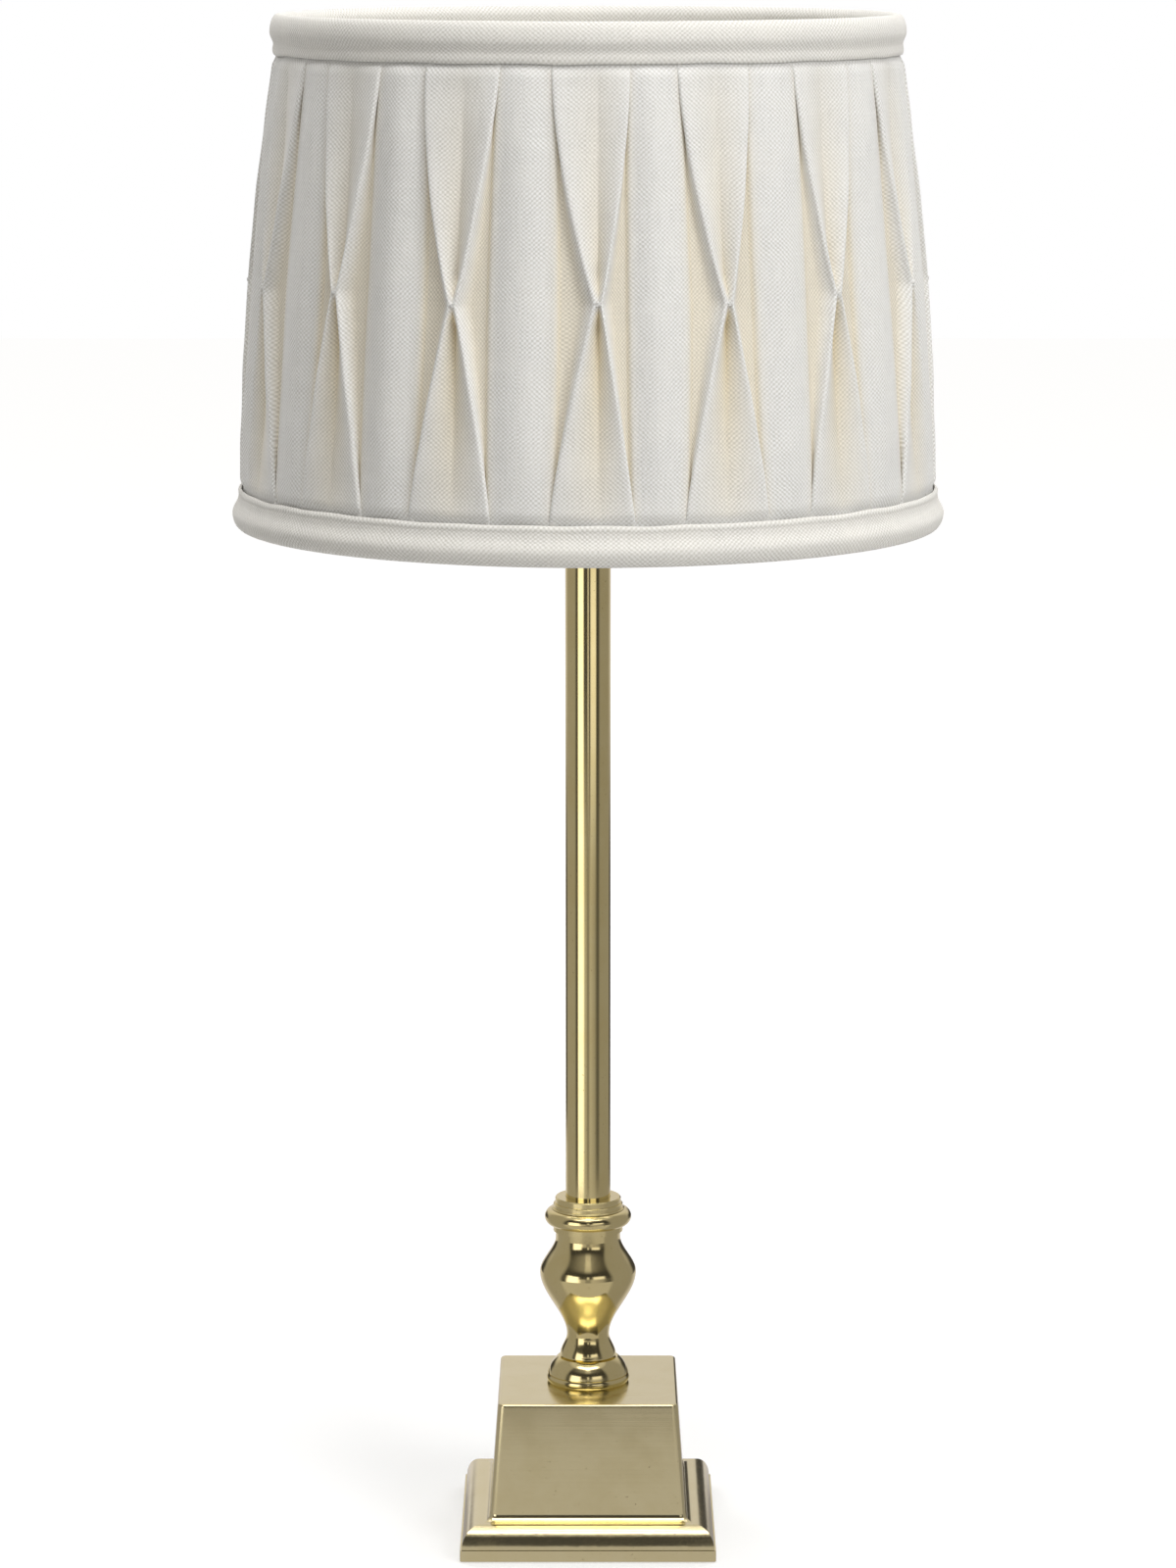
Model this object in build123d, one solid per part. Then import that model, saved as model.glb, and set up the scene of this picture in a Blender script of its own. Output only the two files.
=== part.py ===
from build123d import *
import math
import os

# A table lamp: a brass candlestick on a square foot, under a drum shade of pinch-pleated linen.
# Millimetres, +Z up. The origin is the middle of the underside, and the lead enters at the back, +Y.

# Clearances
thread_fit = 0.1          # between a screwed pair, measured on the radius
bore_fit = 0.2            # between a rod and the bore that it passes through
socket_fit = 0.1          # between the tube and what it stands in or carries
running_gap = 0.3         # between pieces that move on each other
layer_gap = 0.15          # between the layers of the shade's wall
wire_gap = 0.3            # between a shade wire and the band sewn round it
weld_gap = 0.05           # between a wire's end and the ring that it is welded to

# Felt pad and foot
felt_thickness = 2.0
felt_recess = 1.5
felt_margin = 3.0
felt_fit = 0.2
foot_width = 110.0
foot_fascia_height = 4.8
foot_quirk = 0.7
foot_ovolo_rise = 9.4
foot_ovolo_run = 7.5
foot_corner_radius = 1.2

# Plinth
plinth_height = 50.7
plinth_base_width = 84.6
plinth_top_width = 77.4
plinth_cove_radius = 3.0
plinth_corner_radius = 2.8
plinth_rim_radius = 1.3
plinth_wall = 4.0
plinth_roof = 4.0

# Screws that hold the foot to the plinth
screw_radius = 2.0
screw_head_radius = 4.0
screw_head_height = 2.4
screw_depth_in_boss = 9.0
screw_land = 3.0
boss_radius = 5.0
boss_height = 12.0
boss_bite = 1.0

# Ballast, hollow tie rod and its nut
ballast_height = 28.0
ballast_clearance = 2.5
ballast_corner_radius = 10.0
rod_radius = 5.0
rod_bore_radius = 3.5
rod_tail = 3.0
washer_radius = 12.0
washer_thickness = 1.6
nut_across_flats = 14.0
nut_height = 6.0
nut_chamfer = 0.6

# Bush of the lead's inlet, in the plinth's back wall
inlet_height = 10.0
bush_bore_radius = 3.5
bush_sleeve_radius = 5.0
bush_flange_radius = 6.8
bush_flange_thickness = 1.6
bush_lip = 0.7
bush_lip_length = 1.6
bush_edge_radius = 0.6

# Turned foot of the baluster
bead_radius = 17.9
bead_height = 3.4
bead_edge_radius = 0.6
quirk_width = 0.5
quirk_depth = 0.7
dome_height = 11.0
dome_base_radius = 17.5
dome_top_radius = 13.0
dome_shoulder_radius = 16.2
dome_shoulder_height = 7.4

# Baluster vase
vase_height = 59.3
vase_lip_radius = 12.2
vase_lip_height = 0.8
vase_waist_radius = 9.2
vase_waist_height = 10.1
vase_belly_radius = 20.9
vase_belly_height = 38.1
vase_neck_radius = 14.05
vase_neck_height = 53.6
vase_rim_radius = 15.1
vase_rim_height = 2.6

# Cup that the tube stands in
cup_seat_radius = 15.2
cup_torus_radius = 3.6
cup_step_radius = 15.8
cup_step_height = 0.7
cup_fillet_radius = 15.1
cup_fillet_height = 1.9
cup_disc_radius = 14.3
cup_disc_height = 2.6
cup_edge_radius = 0.5
cup_socket_depth = 9.0

# Tube and its cap
tube_radius = 9.7
tube_wall = 1.2
tube_length = 298.8
cap_radius = 12.5
cap_thickness = 4.0
cap_edge_radius = 1.5
cap_spigot_length = 8.0

# Lampholder, with heights above its lower end
holder_entry_radius = 8.0
holder_entry_height = 8.0
holder_cap_radius = 17.8
holder_cap_wall = 1.2
holder_cap_shoulder = 16.0
holder_cap_height = 36.0
skirt_radius = 19.8
skirt_overlap = 6.0
skirt_height = 65.0
collar_radius = 23.5
collar_thickness = 3.0
collar_height = 47.0
core_flange_height = 3.0
core_foot_height = 6.0
core_floor_height = 41.0
core_top_margin = 2.6
core_lining = 1.0
shell_thickness = 0.5
shell_inner_radius = 13.45
shell_lip_radius = 9.5
shell_top_margin = 1.0
contact_length = 15.0
contact_width = 5.0
contact_thickness = 0.5
contact_rise = 3.0
terminal_offset = 9.0
terminal_head_radius = 2.6
terminal_head_height = 2.0
terminal_shank_radius = 1.5
terminal_shank_length = 3.5

# Push bar of the switch, across the lampholder
bar_height_in_holder = 21.0
bar_length = 50.0
bar_width = 6.0
bar_depth = 5.0
bar_travel = 6.0
bar_end_radius = 1.6

# Ring that clamps the shade
ring_flange_radius = 25.0
ring_flange_thickness = 2.0
ring_hub_radius = 23.2
ring_height = 8.0
ring_notch_count = 12
ring_notch_radius = 1.6

# Bulb
bulb_length = 107.0
bulb_radius = 30.0
bulb_wall = 1.0
bulb_cap_height = 25.5
bulb_cap_wall = 0.4
bulb_cap_flare = 0.9
bulb_tip_radius = 4.8
bulb_tip_height = 1.8
bulb_insulator_height = 4.5
bulb_insulator_radius = 10.5
bulb_neck_fit = 0.2

# Shade
shade_height = 213.0
shade_bottom_radius = 150.0
shade_top_radius = 132.2
fitter_rise = 46.0
fitter_thickness = 1.5
fitter_fit = 0.7
arm_count = 3
arm_radius = 1.5
arm_run = 9.0
arm_tip = 8.0
arm_bend_radius = 12.0
top_wire_radius = 1.8
bottom_wire_radius = 2.0
band_height = 14.0
band_turn_in = 9.0
band_cloth = 0.7
liner_thickness = 0.5
liner_end_gap = 1.0

# Pinch pleats, with heights of the cloth above the liner
pleat_count = 16
pleat_face_angle = 12.8
pleat_bed = 1.3
pleat_tuck = 4.0
pleat_gape = 5.0
pinch_height = 106.0
pinch_angle = 0.9
pinch_ridge = 6.0
pinch_valley = 5.2
pinch_skirt_angle = 1.1
fold_ridge = 4.8
fold_valley = 1.1
fold_undercut_angle = 0.6
mouth_ridge = 2.5
mouth_valley = 2.1
mouth_undercut_angle = 0.9
foot_of_fold = 0.8
panel_swell = 3.3
panel_mouth = 1.7

# Levels, worked up from the floor
z_foot = felt_thickness - felt_recess
z_fascia = z_foot + foot_fascia_height
z_ledge = z_fascia + foot_ovolo_rise
z_plinth_top = z_ledge + plinth_height
z_roof = z_plinth_top - plinth_roof
z_ballast = z_roof - ballast_height
z_washer = z_ballast - washer_thickness
z_nut = z_washer - nut_height
z_rod = z_nut - rod_tail
z_vase = z_plinth_top + dome_height
z_cup = z_vase + vase_height
z_cup_step = z_cup + 2 * cup_torus_radius
z_cup_fillet = z_cup_step + cup_step_height
z_cup_disc = z_cup_fillet + cup_fillet_height
z_cup_top = z_cup_disc + cup_disc_height
z_tube = z_cup_top - cup_socket_depth
z_cap = z_tube + tube_length
z_holder = z_cap + cap_thickness
z_rod_top = z_holder + holder_entry_height - bore_fit
z_bar = z_holder + bar_height_in_holder
z_cap_rim = z_holder + holder_cap_height
z_core = z_cap_rim - core_foot_height
z_core_flange = z_cap_rim + core_flange_height
z_core_floor = z_holder + core_floor_height
z_skirt_top = z_holder + skirt_height
z_seat = z_holder + collar_height
z_ring = z_seat + fitter_thickness + running_gap
z_contact = z_core_floor + contact_rise
z_bulb = z_contact + running_gap
z_shade = z_seat - fitter_rise
z_shade_top = z_shade + shade_height

# Radii and slopes that several pieces share
rod_hole_radius = rod_radius + bore_fit
tube_bore_radius = tube_radius - tube_wall
core_bore_radius = shell_inner_radius + shell_thickness + thread_fit
core_radius = core_bore_radius + core_lining
skirt_bore_radius = holder_cap_radius + thread_fit
fitter_inner_radius = skirt_radius + fitter_fit
fitter_outer_radius = ring_flange_radius + running_gap
bulb_cap_radius = shell_inner_radius - running_gap
plinth_lean = math.atan((plinth_base_width - plinth_top_width) / 2 / plinth_height)
screw_offset = plinth_base_width / 2 - plinth_wall - boss_radius + boss_bite
foot_window_width = 2 * (screw_offset - screw_head_radius - screw_land)

# Layers of the shade's wall
top_roll_radius = top_wire_radius + wire_gap + band_cloth
bottom_roll_radius = bottom_wire_radius + wire_gap + band_cloth
top_ring_radius = shade_top_radius - top_roll_radius
bottom_ring_radius = shade_bottom_radius - bottom_roll_radius
z_top_ring = z_shade_top - top_roll_radius
z_bottom_ring = z_shade + bottom_roll_radius
z_liner = z_bottom_ring + bottom_wire_radius + liner_end_gap
z_liner_top = z_top_ring - top_wire_radius - liner_end_gap
liner_step = band_cloth + 2 * layer_gap + liner_thickness
liner_bottom_radius = bottom_ring_radius - bottom_roll_radius + liner_step
liner_top_radius = top_ring_radius - top_roll_radius + liner_step


def liner_radius(z):
    """Outer radius of the liner's cone at a height."""
    share = (z - z_liner) / (z_liner_top - z_liner)
    return liner_bottom_radius + share * (liner_top_radius - liner_bottom_radius)


def plinth_half_width(z):
    """Half the plinth's width at a height, without its cove."""
    return plinth_base_width / 2 - (z - z_ledge) * math.tan(plinth_lean)


def lines(*points):
    """Straight edges from point to point."""
    return [Line(a, b) for a, b in zip(points, points[1:])]


def swell(start, end):
    """A curve that leaves and arrives along the axis, as a turner's ogee does."""
    third = (end[1] - start[1]) / 3
    return Bezier(start, (start[0], start[1] + third), (end[0], end[1] - third), end)


def turned(edges):
    """The solid of revolution about Z of a closed profile in radius and height."""
    return revolve(Plane.XZ * Face(Wire(edges, sequenced=True)), Axis.Z)


def sleeve(outer_radius, inner_radius, low, high):
    """A plain ring between two heights."""
    corners = [(inner_radius, low), (outer_radius, low), (outer_radius, high), (inner_radius, high)]
    return turned(lines(*corners, corners[0]))


def disc(radius, low, high):
    """A plain round bar between two heights."""
    return Pos(0, 0, low) * Cylinder(radius, high - low, align=(Align.CENTER, Align.CENTER, Align.MIN))


def square_bar(width, low, high, corner_radius):
    """An upright square bar with rounded corners."""
    return Pos(0, 0, low) * extrude(RectangleRounded(width, width, corner_radius), high - low)


def mitred(right_side, reach):
    """A square block whose four sides follow one profile, mitred at the corners."""
    left_side = [edge.mirror(Plane.YZ) for edge in right_side]
    start = right_side[0] @ 0
    end = right_side[-1] @ 1
    base = Line((-start.X, start.Y), (start.X, start.Y))
    top = Line((-end.X, end.Y), (end.X, end.Y))
    profile = Face(Wire([*right_side, *left_side, base, top], sequenced=True))
    beam = extrude(Plane.XZ * profile, amount=reach, both=True)
    return beam & (Rot(0, 0, 90) * beam)


def corner_spots():
    """The four places where the foot is screwed to the plinth."""
    return [Pos(x * screw_offset, y * screw_offset, 0) for x in (-1, 1) for y in (-1, 1)]


def make_felt_pad():
    width = foot_width - 2 * (felt_margin + felt_fit)
    return square_bar(width, 0, felt_thickness, foot_corner_radius)


def make_foot():
    """Fascia, quirk and ovolo round a square plate, open in the middle and recessed for the felt."""
    half = foot_width / 2
    ovolo = half - foot_quirk
    side = lines((half, z_foot), (half, z_fascia), (ovolo, z_fascia))
    side.append(
        EllipticalCenterArc(
            (ovolo - foot_ovolo_run, z_fascia), foot_ovolo_run, foot_ovolo_rise, start_angle=0, arc_size=90
        )
    )
    foot = mitred(side, half)
    fascia_corners = [e for e in foot.edges().filter_by(Axis.Z) if (e @ 0.5).Z < z_fascia]
    foot = fillet(fascia_corners, foot_corner_radius)
    foot -= square_bar(foot_width - 2 * felt_margin, z_foot, felt_thickness, foot_corner_radius)
    foot -= square_bar(foot_window_width, z_foot, z_ledge, screw_land)
    for spot in corner_spots():
        foot -= spot * screw_shape(bore_fit)
    return foot


def screw_shape(fit):
    """A countersunk screw, driven up from under the foot, or its hole if there is a fit."""
    low = felt_thickness
    neck = low + screw_head_height
    tip = z_ledge + screw_depth_in_boss + fit
    head = screw_head_radius + fit
    shank = screw_radius + fit
    corners = [(0, low), (head, low), (shank, neck), (shank, tip), (0, tip)]
    return turned(lines(*corners, corners[0]))


def make_foot_screws():
    return [spot * screw_shape(0) for spot in corner_spots()]


def make_plinth():
    """A hollow tapered block with a cove at its base, corner bosses, a roof and the lead's hole."""
    springing = z_ledge + plinth_cove_radius
    toe = plinth_half_width(springing) + plinth_cove_radius
    bend = plinth_cove_radius * (1 - math.sqrt(0.5))
    cove = ThreePointArc(
        (toe, z_ledge),
        (plinth_half_width(springing) + bend, z_ledge + bend),
        (plinth_half_width(springing), springing),
    )
    face_line = Line((plinth_half_width(springing), springing), (plinth_top_width / 2, z_plinth_top))
    block = mitred([cove, face_line], toe)
    corners = [e for e in block.edges() if abs((e @ 1 - e @ 0).Z) > plinth_height / 2]
    block = fillet(corners, plinth_corner_radius)
    block = fillet(block.faces().sort_by(Axis.Z)[-1].edges(), plinth_rim_radius)
    inset = plinth_wall / math.cos(plinth_lean)
    hollow_side = Line(
        (plinth_half_width(z_ledge) - inset, z_ledge),
        (plinth_half_width(z_roof) - inset, z_roof),
    )
    bosses = Part() + [spot * disc(boss_radius, z_ledge, z_ledge + boss_height) for spot in corner_spots()]
    block -= mitred([hollow_side], toe) - bosses
    for spot in corner_spots():
        block -= spot * screw_shape(thread_fit)
    block -= disc(rod_hole_radius, z_roof, z_plinth_top)
    block -= inlet_plane() * disc(bush_sleeve_radius + bore_fit, -2 * plinth_wall, plinth_wall)
    return block


def inlet_plane():
    """The middle of the lead's hole on the plinth's back face, with Z pointing out of the wall."""
    height = z_ledge + inlet_height
    outward = (0, math.cos(plinth_lean), math.sin(plinth_lean))
    return Plane(origin=(0, plinth_half_width(height), height), x_dir=(1, 0, 0), z_dir=outward)


def make_cord_bush():
    """A snap-in bush: a flange on the wall's face, a sleeve through it and a lip behind it."""
    inner_end = -plinth_wall - layer_gap - bush_lip_length
    lip_start = -plinth_wall - layer_gap
    crown = bush_flange_thickness
    edges = lines(
        (bush_bore_radius + bush_edge_radius, crown),
        (bush_bore_radius, crown - bush_edge_radius),
        (bush_bore_radius, inner_end),
        (bush_sleeve_radius, inner_end),
        (bush_sleeve_radius + bush_lip, lip_start),
        (bush_sleeve_radius, lip_start),
        (bush_sleeve_radius, 0),
        (bush_flange_radius, 0),
        (bush_flange_radius, crown - bush_edge_radius),
        (bush_flange_radius - bush_edge_radius, crown),
        (bush_bore_radius + bush_edge_radius, crown),
    )
    return inlet_plane() * turned(edges)


def make_ballast():
    """A cast weight under the roof, with the same lean as the plinth and rounded corners."""
    gap = plinth_wall / math.cos(plinth_lean) + ballast_clearance
    outlines = []
    for level in (z_ballast, z_roof):
        width = 2 * (plinth_half_width(level) - gap)
        outlines.append(Pos(0, 0, level) * RectangleRounded(width, width, ballast_corner_radius))
    return loft(outlines) - disc(rod_hole_radius, z_ballast, z_roof)


def make_tie_rod():
    return sleeve(rod_radius, rod_bore_radius, z_rod, z_rod_top)


def make_rod_washer():
    return sleeve(washer_radius, rod_hole_radius, z_washer, z_ballast)


def make_rod_nut():
    """A hexagon nut, chamfered at its corners."""
    corner_radius = nut_across_flats / math.sqrt(3)
    blank = Pos(0, 0, z_nut) * extrude(RegularPolygon(corner_radius, 6), nut_height)
    turned_blank = chamfer(disc(corner_radius, z_nut, z_washer).edges(), nut_chamfer)
    return (blank & turned_blank) - disc(rod_radius + thread_fit, z_nut, z_washer)


def make_baluster_foot():
    """A bead ring, a quirk and a dome, bored for the rod."""
    bead_top = z_plinth_top + bead_height
    dome_foot = bead_top + quirk_width
    edges = lines((rod_hole_radius, z_plinth_top), (bead_radius - bead_edge_radius, z_plinth_top))
    edges.append(
        ThreePointArc(
            (bead_radius - bead_edge_radius, z_plinth_top),
            (bead_radius, z_plinth_top + bead_height / 2),
            (bead_radius - bead_edge_radius, bead_top),
        )
    )
    edges += lines(
        (bead_radius - bead_edge_radius, bead_top),
        (dome_base_radius - quirk_depth, bead_top),
        (dome_base_radius - quirk_depth, dome_foot),
        (dome_base_radius, dome_foot),
    )
    edges.append(
        ThreePointArc(
            (dome_base_radius, dome_foot),
            (dome_shoulder_radius, z_plinth_top + dome_shoulder_height),
            (dome_top_radius, z_vase),
        )
    )
    edges += lines((dome_top_radius, z_vase), (rod_hole_radius, z_vase), (rod_hole_radius, z_plinth_top))
    return turned(edges)


def make_baluster():
    """The vase: lip, waist, belly, neck and rim in one ogee line."""
    lip = (vase_lip_radius, z_vase + vase_lip_height)
    waist = (vase_waist_radius, z_vase + vase_waist_height)
    belly = (vase_belly_radius, z_vase + vase_belly_height)
    neck = (vase_neck_radius, z_vase + vase_neck_height)
    rim = (vase_rim_radius, z_cup - vase_rim_height)
    foot_point = (vase_lip_radius - quirk_depth, z_vase)
    edges = lines((rod_hole_radius, z_vase), foot_point, lip)
    edges += [swell(lip, waist), swell(waist, belly), swell(belly, neck)]
    edges += lines(neck, (vase_neck_radius, rim[1]), rim, (vase_rim_radius, z_cup), (rod_hole_radius, z_cup))
    edges += lines((rod_hole_radius, z_cup), (rod_hole_radius, z_vase))
    return turned(edges)


def make_stem_cup():
    """A torus, two steps and a flat disc, with the socket that the tube stands in."""
    socket_radius = tube_radius + socket_fit
    edges = lines((rod_hole_radius, z_cup), (cup_seat_radius, z_cup))
    edges.append(
        ThreePointArc(
            (cup_seat_radius, z_cup),
            (cup_seat_radius + cup_torus_radius, z_cup + cup_torus_radius),
            (cup_seat_radius, z_cup_step),
        )
    )
    outline = [(cup_seat_radius, z_cup_step)]
    steps = [
        (cup_step_radius, z_cup_step, z_cup_fillet),
        (cup_fillet_radius, z_cup_fillet, z_cup_disc),
        (cup_disc_radius, z_cup_disc, z_cup_top),
    ]
    for radius, low, high in steps:
        outline += [(radius, low), (radius, high - cup_edge_radius), (radius - cup_edge_radius, high)]
    edges += lines(
        *outline,
        (socket_radius, z_cup_top),
        (socket_radius, z_tube),
        (rod_hole_radius, z_tube),
        (rod_hole_radius, z_cup),
    )
    return turned(edges)


def make_stem_tube():
    return sleeve(tube_radius, tube_bore_radius, z_tube, z_cap)


def make_stem_cap():
    """A round cap on the tube's upper end, with a spigot inside the tube."""
    spigot_radius = tube_bore_radius - socket_fit
    edges = lines(
        (rod_hole_radius, z_cap - cap_spigot_length),
        (spigot_radius, z_cap - cap_spigot_length),
        (spigot_radius, z_cap),
        (cap_radius, z_cap),
        (cap_radius, z_holder - cap_edge_radius),
        (cap_radius - cap_edge_radius, z_holder),
        (rod_hole_radius, z_holder),
        (rod_hole_radius, z_cap - cap_spigot_length),
    )
    return turned(edges)


def make_holder_cap():
    """The lampholder's cup: a threaded entry on the rod, a domed shoulder and a round wall."""
    shoulder = z_holder + holder_cap_shoulder
    entry_top = z_holder + holder_entry_height
    inner_radius = holder_cap_radius - holder_cap_wall
    entry_bore = rod_radius + thread_fit
    edges = lines((entry_bore, z_holder), (holder_entry_radius, z_holder))
    edges += lines((holder_entry_radius, z_holder), (holder_entry_radius, entry_top - holder_cap_wall))
    edges.append(
        Bezier(
            (holder_entry_radius, entry_top - holder_cap_wall),
            (holder_cap_radius, entry_top - holder_cap_wall),
            (holder_cap_radius, shoulder),
        )
    )
    edges += lines((holder_cap_radius, shoulder), (holder_cap_radius, z_cap_rim), (inner_radius, z_cap_rim))
    edges += lines((inner_radius, z_cap_rim), (inner_radius, shoulder))
    edges.append(
        Bezier((inner_radius, shoulder), (inner_radius, entry_top), (holder_entry_radius, entry_top))
    )
    edges += lines((holder_entry_radius, entry_top), (entry_bore, entry_top), (entry_bore, z_holder))
    slot = Box(3 * holder_cap_radius, bar_width + 2 * running_gap, bar_depth + 2 * running_gap)
    return turned(edges) - Pos(0, 0, z_bar) * slot


def make_holder_skirt():
    """The threaded sleeve that holds the core down, with the collar that the shade sits on."""
    low = z_cap_rim - skirt_overlap
    step = z_core_flange + layer_gap
    bore = core_radius + bore_fit
    edges = lines(
        (skirt_bore_radius, low),
        (skirt_radius, low),
        (skirt_radius, z_seat - collar_thickness),
        (collar_radius, z_seat - collar_thickness),
        (collar_radius, z_seat),
        (skirt_radius, z_seat),
        (skirt_radius, z_skirt_top),
        (bore, z_skirt_top),
        (bore, step),
        (skirt_bore_radius, step),
        (skirt_bore_radius, low),
    )
    return turned(edges)


def make_holder_core():
    """The ceramic core: a flange clamped on the cup's rim and a well for the screw shell."""
    foot_radius = holder_cap_radius - holder_cap_wall - bore_fit
    well_top = z_skirt_top - core_top_margin
    edges = lines(
        (0, z_core),
        (foot_radius, z_core),
        (foot_radius, z_cap_rim),
        (holder_cap_radius, z_cap_rim),
        (holder_cap_radius, z_core_flange),
        (core_radius, z_core_flange),
        (core_radius, well_top),
        (core_bore_radius, well_top),
        (core_bore_radius, z_core_floor),
        (0, z_core_floor),
        (0, z_core),
    )
    core = turned(edges)
    for side in (-1, 1):
        hole = disc(terminal_shank_radius + thread_fit, z_core, z_core + terminal_shank_length + thread_fit)
        core -= Pos(side * terminal_offset, 0, 0) * hole
    return core


def make_terminal_screws():
    """Two cheese-head screws up into the core's underside."""
    head = disc(terminal_head_radius, z_core - terminal_head_height, z_core)
    shank = disc(terminal_shank_radius, z_core, z_core + terminal_shank_length)
    return [Pos(side * terminal_offset, 0, 0) * (head + shank) for side in (-1, 1)]


def make_screw_shell():
    """The lampholder's threaded cup, with a lip on the core's floor."""
    outer_radius = shell_inner_radius + shell_thickness
    top = z_skirt_top - core_top_margin - shell_top_margin
    edges = lines(
        (shell_lip_radius, z_core_floor),
        (outer_radius, z_core_floor),
        (outer_radius, top),
        (shell_inner_radius, top),
        (shell_inner_radius, z_core_floor + shell_thickness),
        (shell_lip_radius, z_core_floor + shell_thickness),
        (shell_lip_radius, z_core_floor),
    )
    return turned(edges)


def make_centre_contact():
    """A springy strip, flat on the core's floor at its ends and bowed up under the bulb's tip."""
    half = contact_length / 2
    low = z_core_floor
    bow = z_contact - contact_thickness
    under = [(-half, low), (-half / 2, low), (0, bow), (half / 2, low), (half, low)]
    over = [
        (half, low + contact_thickness),
        (half / 2, low + contact_thickness),
        (0, z_contact),
        (-half / 2, low + contact_thickness),
        (-half, low + contact_thickness),
    ]
    outline = Face(Wire(lines(*under, *over, under[0]), sequenced=True))
    return extrude(Plane.XZ * outline, amount=contact_width / 2, both=True)


def make_switch_bar():
    """The push bar at its left stop, with rounded ends."""
    bar = Box(bar_length, bar_width, bar_depth)
    ends = bar.faces().sort_by(Axis.X)
    bar = fillet(ends[0].edges() + ends[-1].edges(), bar_end_radius)
    return Pos(-bar_travel / 2, 0, z_bar) * bar


def make_shade_ring():
    """A flanged ring, screwed down the lampholder on the shade's fitter, with grip notches."""
    bore = skirt_radius + thread_fit
    hub = sleeve(ring_hub_radius, bore, z_ring, z_ring + ring_height)
    flange = sleeve(ring_flange_radius, bore, z_ring, z_ring + ring_flange_thickness)
    notch = Pos(ring_hub_radius + ring_notch_radius / 3, 0, 0) * disc(
        ring_notch_radius, z_ring + ring_flange_thickness, z_ring + ring_height
    )
    ring = hub + flange
    for i in range(ring_notch_count):
        ring -= Rot(0, 0, 360 * i / ring_notch_count) * notch
    return ring


def bulb_levels():
    """Heights of the bulb's insulator, cap and rim."""
    insulator = z_bulb + bulb_tip_height
    shell = insulator + bulb_insulator_height
    return insulator, shell, z_bulb + bulb_cap_height


def make_bulb_contact():
    """The tip, a shallow dome."""
    insulator = bulb_levels()[0]
    sphere = (bulb_tip_radius**2 + bulb_tip_height**2) / (2 * bulb_tip_height)
    turn = math.asin(bulb_tip_radius / sphere) / 2
    halfway = (sphere * math.sin(turn), z_bulb + sphere * (1 - math.cos(turn)))
    arc = ThreePointArc((0, z_bulb), halfway, (bulb_tip_radius, insulator))
    return turned([arc, *lines((bulb_tip_radius, insulator), (0, insulator), (0, z_bulb))])


def make_bulb_insulator():
    """The black cone between the tip and the cap."""
    insulator, shell, rim = bulb_levels()
    corners = [(0, insulator), (bulb_tip_radius, insulator), (bulb_insulator_radius, shell), (0, shell)]
    return turned(lines(*corners, corners[0]))


def make_bulb_cap():
    """The cap's shell, drawn in at its foot and flared at its rim."""
    insulator, shell, rim = bulb_levels()
    inner = bulb_cap_radius - bulb_cap_wall
    flare = rim - 2 * bulb_cap_flare
    edges = lines(
        (0, shell),
        (bulb_insulator_radius, shell),
        (bulb_cap_radius, shell + bulb_cap_radius - bulb_insulator_radius),
        (bulb_cap_radius, flare),
        (bulb_cap_radius + bulb_cap_flare, rim),
        (inner + bulb_cap_flare, rim),
        (inner, flare),
        (inner, shell + bulb_cap_radius - bulb_insulator_radius),
        (bulb_insulator_radius, shell + bulb_cap_wall),
        (0, shell + bulb_cap_wall),
        (0, shell),
    )
    return turned(edges)


def make_bulb_glass():
    """The opal envelope: a neck inside the cap, a flowing shoulder and a round head."""
    insulator, shell, rim = bulb_levels()
    neck_radius = bulb_cap_radius - bulb_cap_wall - bulb_neck_fit
    neck = (shell + rim) / 2
    flare = rim - 2 * bulb_cap_flare
    top = z_bulb + bulb_length
    centre = top - bulb_radius
    diagonal = math.sqrt(0.5)

    def outline(inset):
        head = bulb_radius - inset
        throat = neck_radius - inset
        return [
            Line((throat, neck), (throat, flare)),
            swell((throat, flare), (head, centre)),
            ThreePointArc((head, centre), (head * diagonal, centre + head * diagonal), (0, centre + head)),
        ]

    outer = outline(0)
    inner = outline(bulb_wall)
    joins = [
        Line((neck_radius, neck), (neck_radius - bulb_wall, neck)),
        Line((0, top), (0, top - bulb_wall)),
    ]
    return turned(outer + inner + joins)


def make_fitter_ring():
    return sleeve(fitter_outer_radius, fitter_inner_radius, z_seat, z_seat + fitter_thickness)


def arm_path():
    """One wire of the fitter, from the bottom ring in and up to the fitter ring."""
    start = bottom_ring_radius - bottom_wire_radius - weld_gap
    end = fitter_outer_radius + weld_gap
    ring_level = z_seat + fitter_thickness / 2
    return FilletPolyline(
        (start, 0, z_bottom_ring),
        (start - arm_run, 0, z_bottom_ring),
        (end + arm_tip, 0, ring_level),
        (end, 0, ring_level),
        radius=arm_bend_radius,
    )


def around(solid):
    """Copies of a piece at each of the fitter's wires, the first one at the back."""
    return [Rot(0, 0, 90 + 360 * i / arm_count) * solid for i in range(arm_count)]


def make_fitter_arms():
    path = arm_path()
    section = Plane(origin=path @ 0, z_dir=path % 0) * Circle(arm_radius)
    return around(sweep(section, path))


def make_wire_ring(radius, wire, level):
    return Pos(0, 0, level) * Torus(radius, wire)


def make_liner():
    """The stiff cone that the linen is gathered on."""
    edges = lines(
        (liner_bottom_radius - liner_thickness, z_liner),
        (liner_bottom_radius, z_liner),
        (liner_top_radius, z_liner_top),
        (liner_top_radius - liner_thickness, z_liner_top),
        (liner_bottom_radius - liner_thickness, z_liner),
    )
    return turned(edges)


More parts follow.
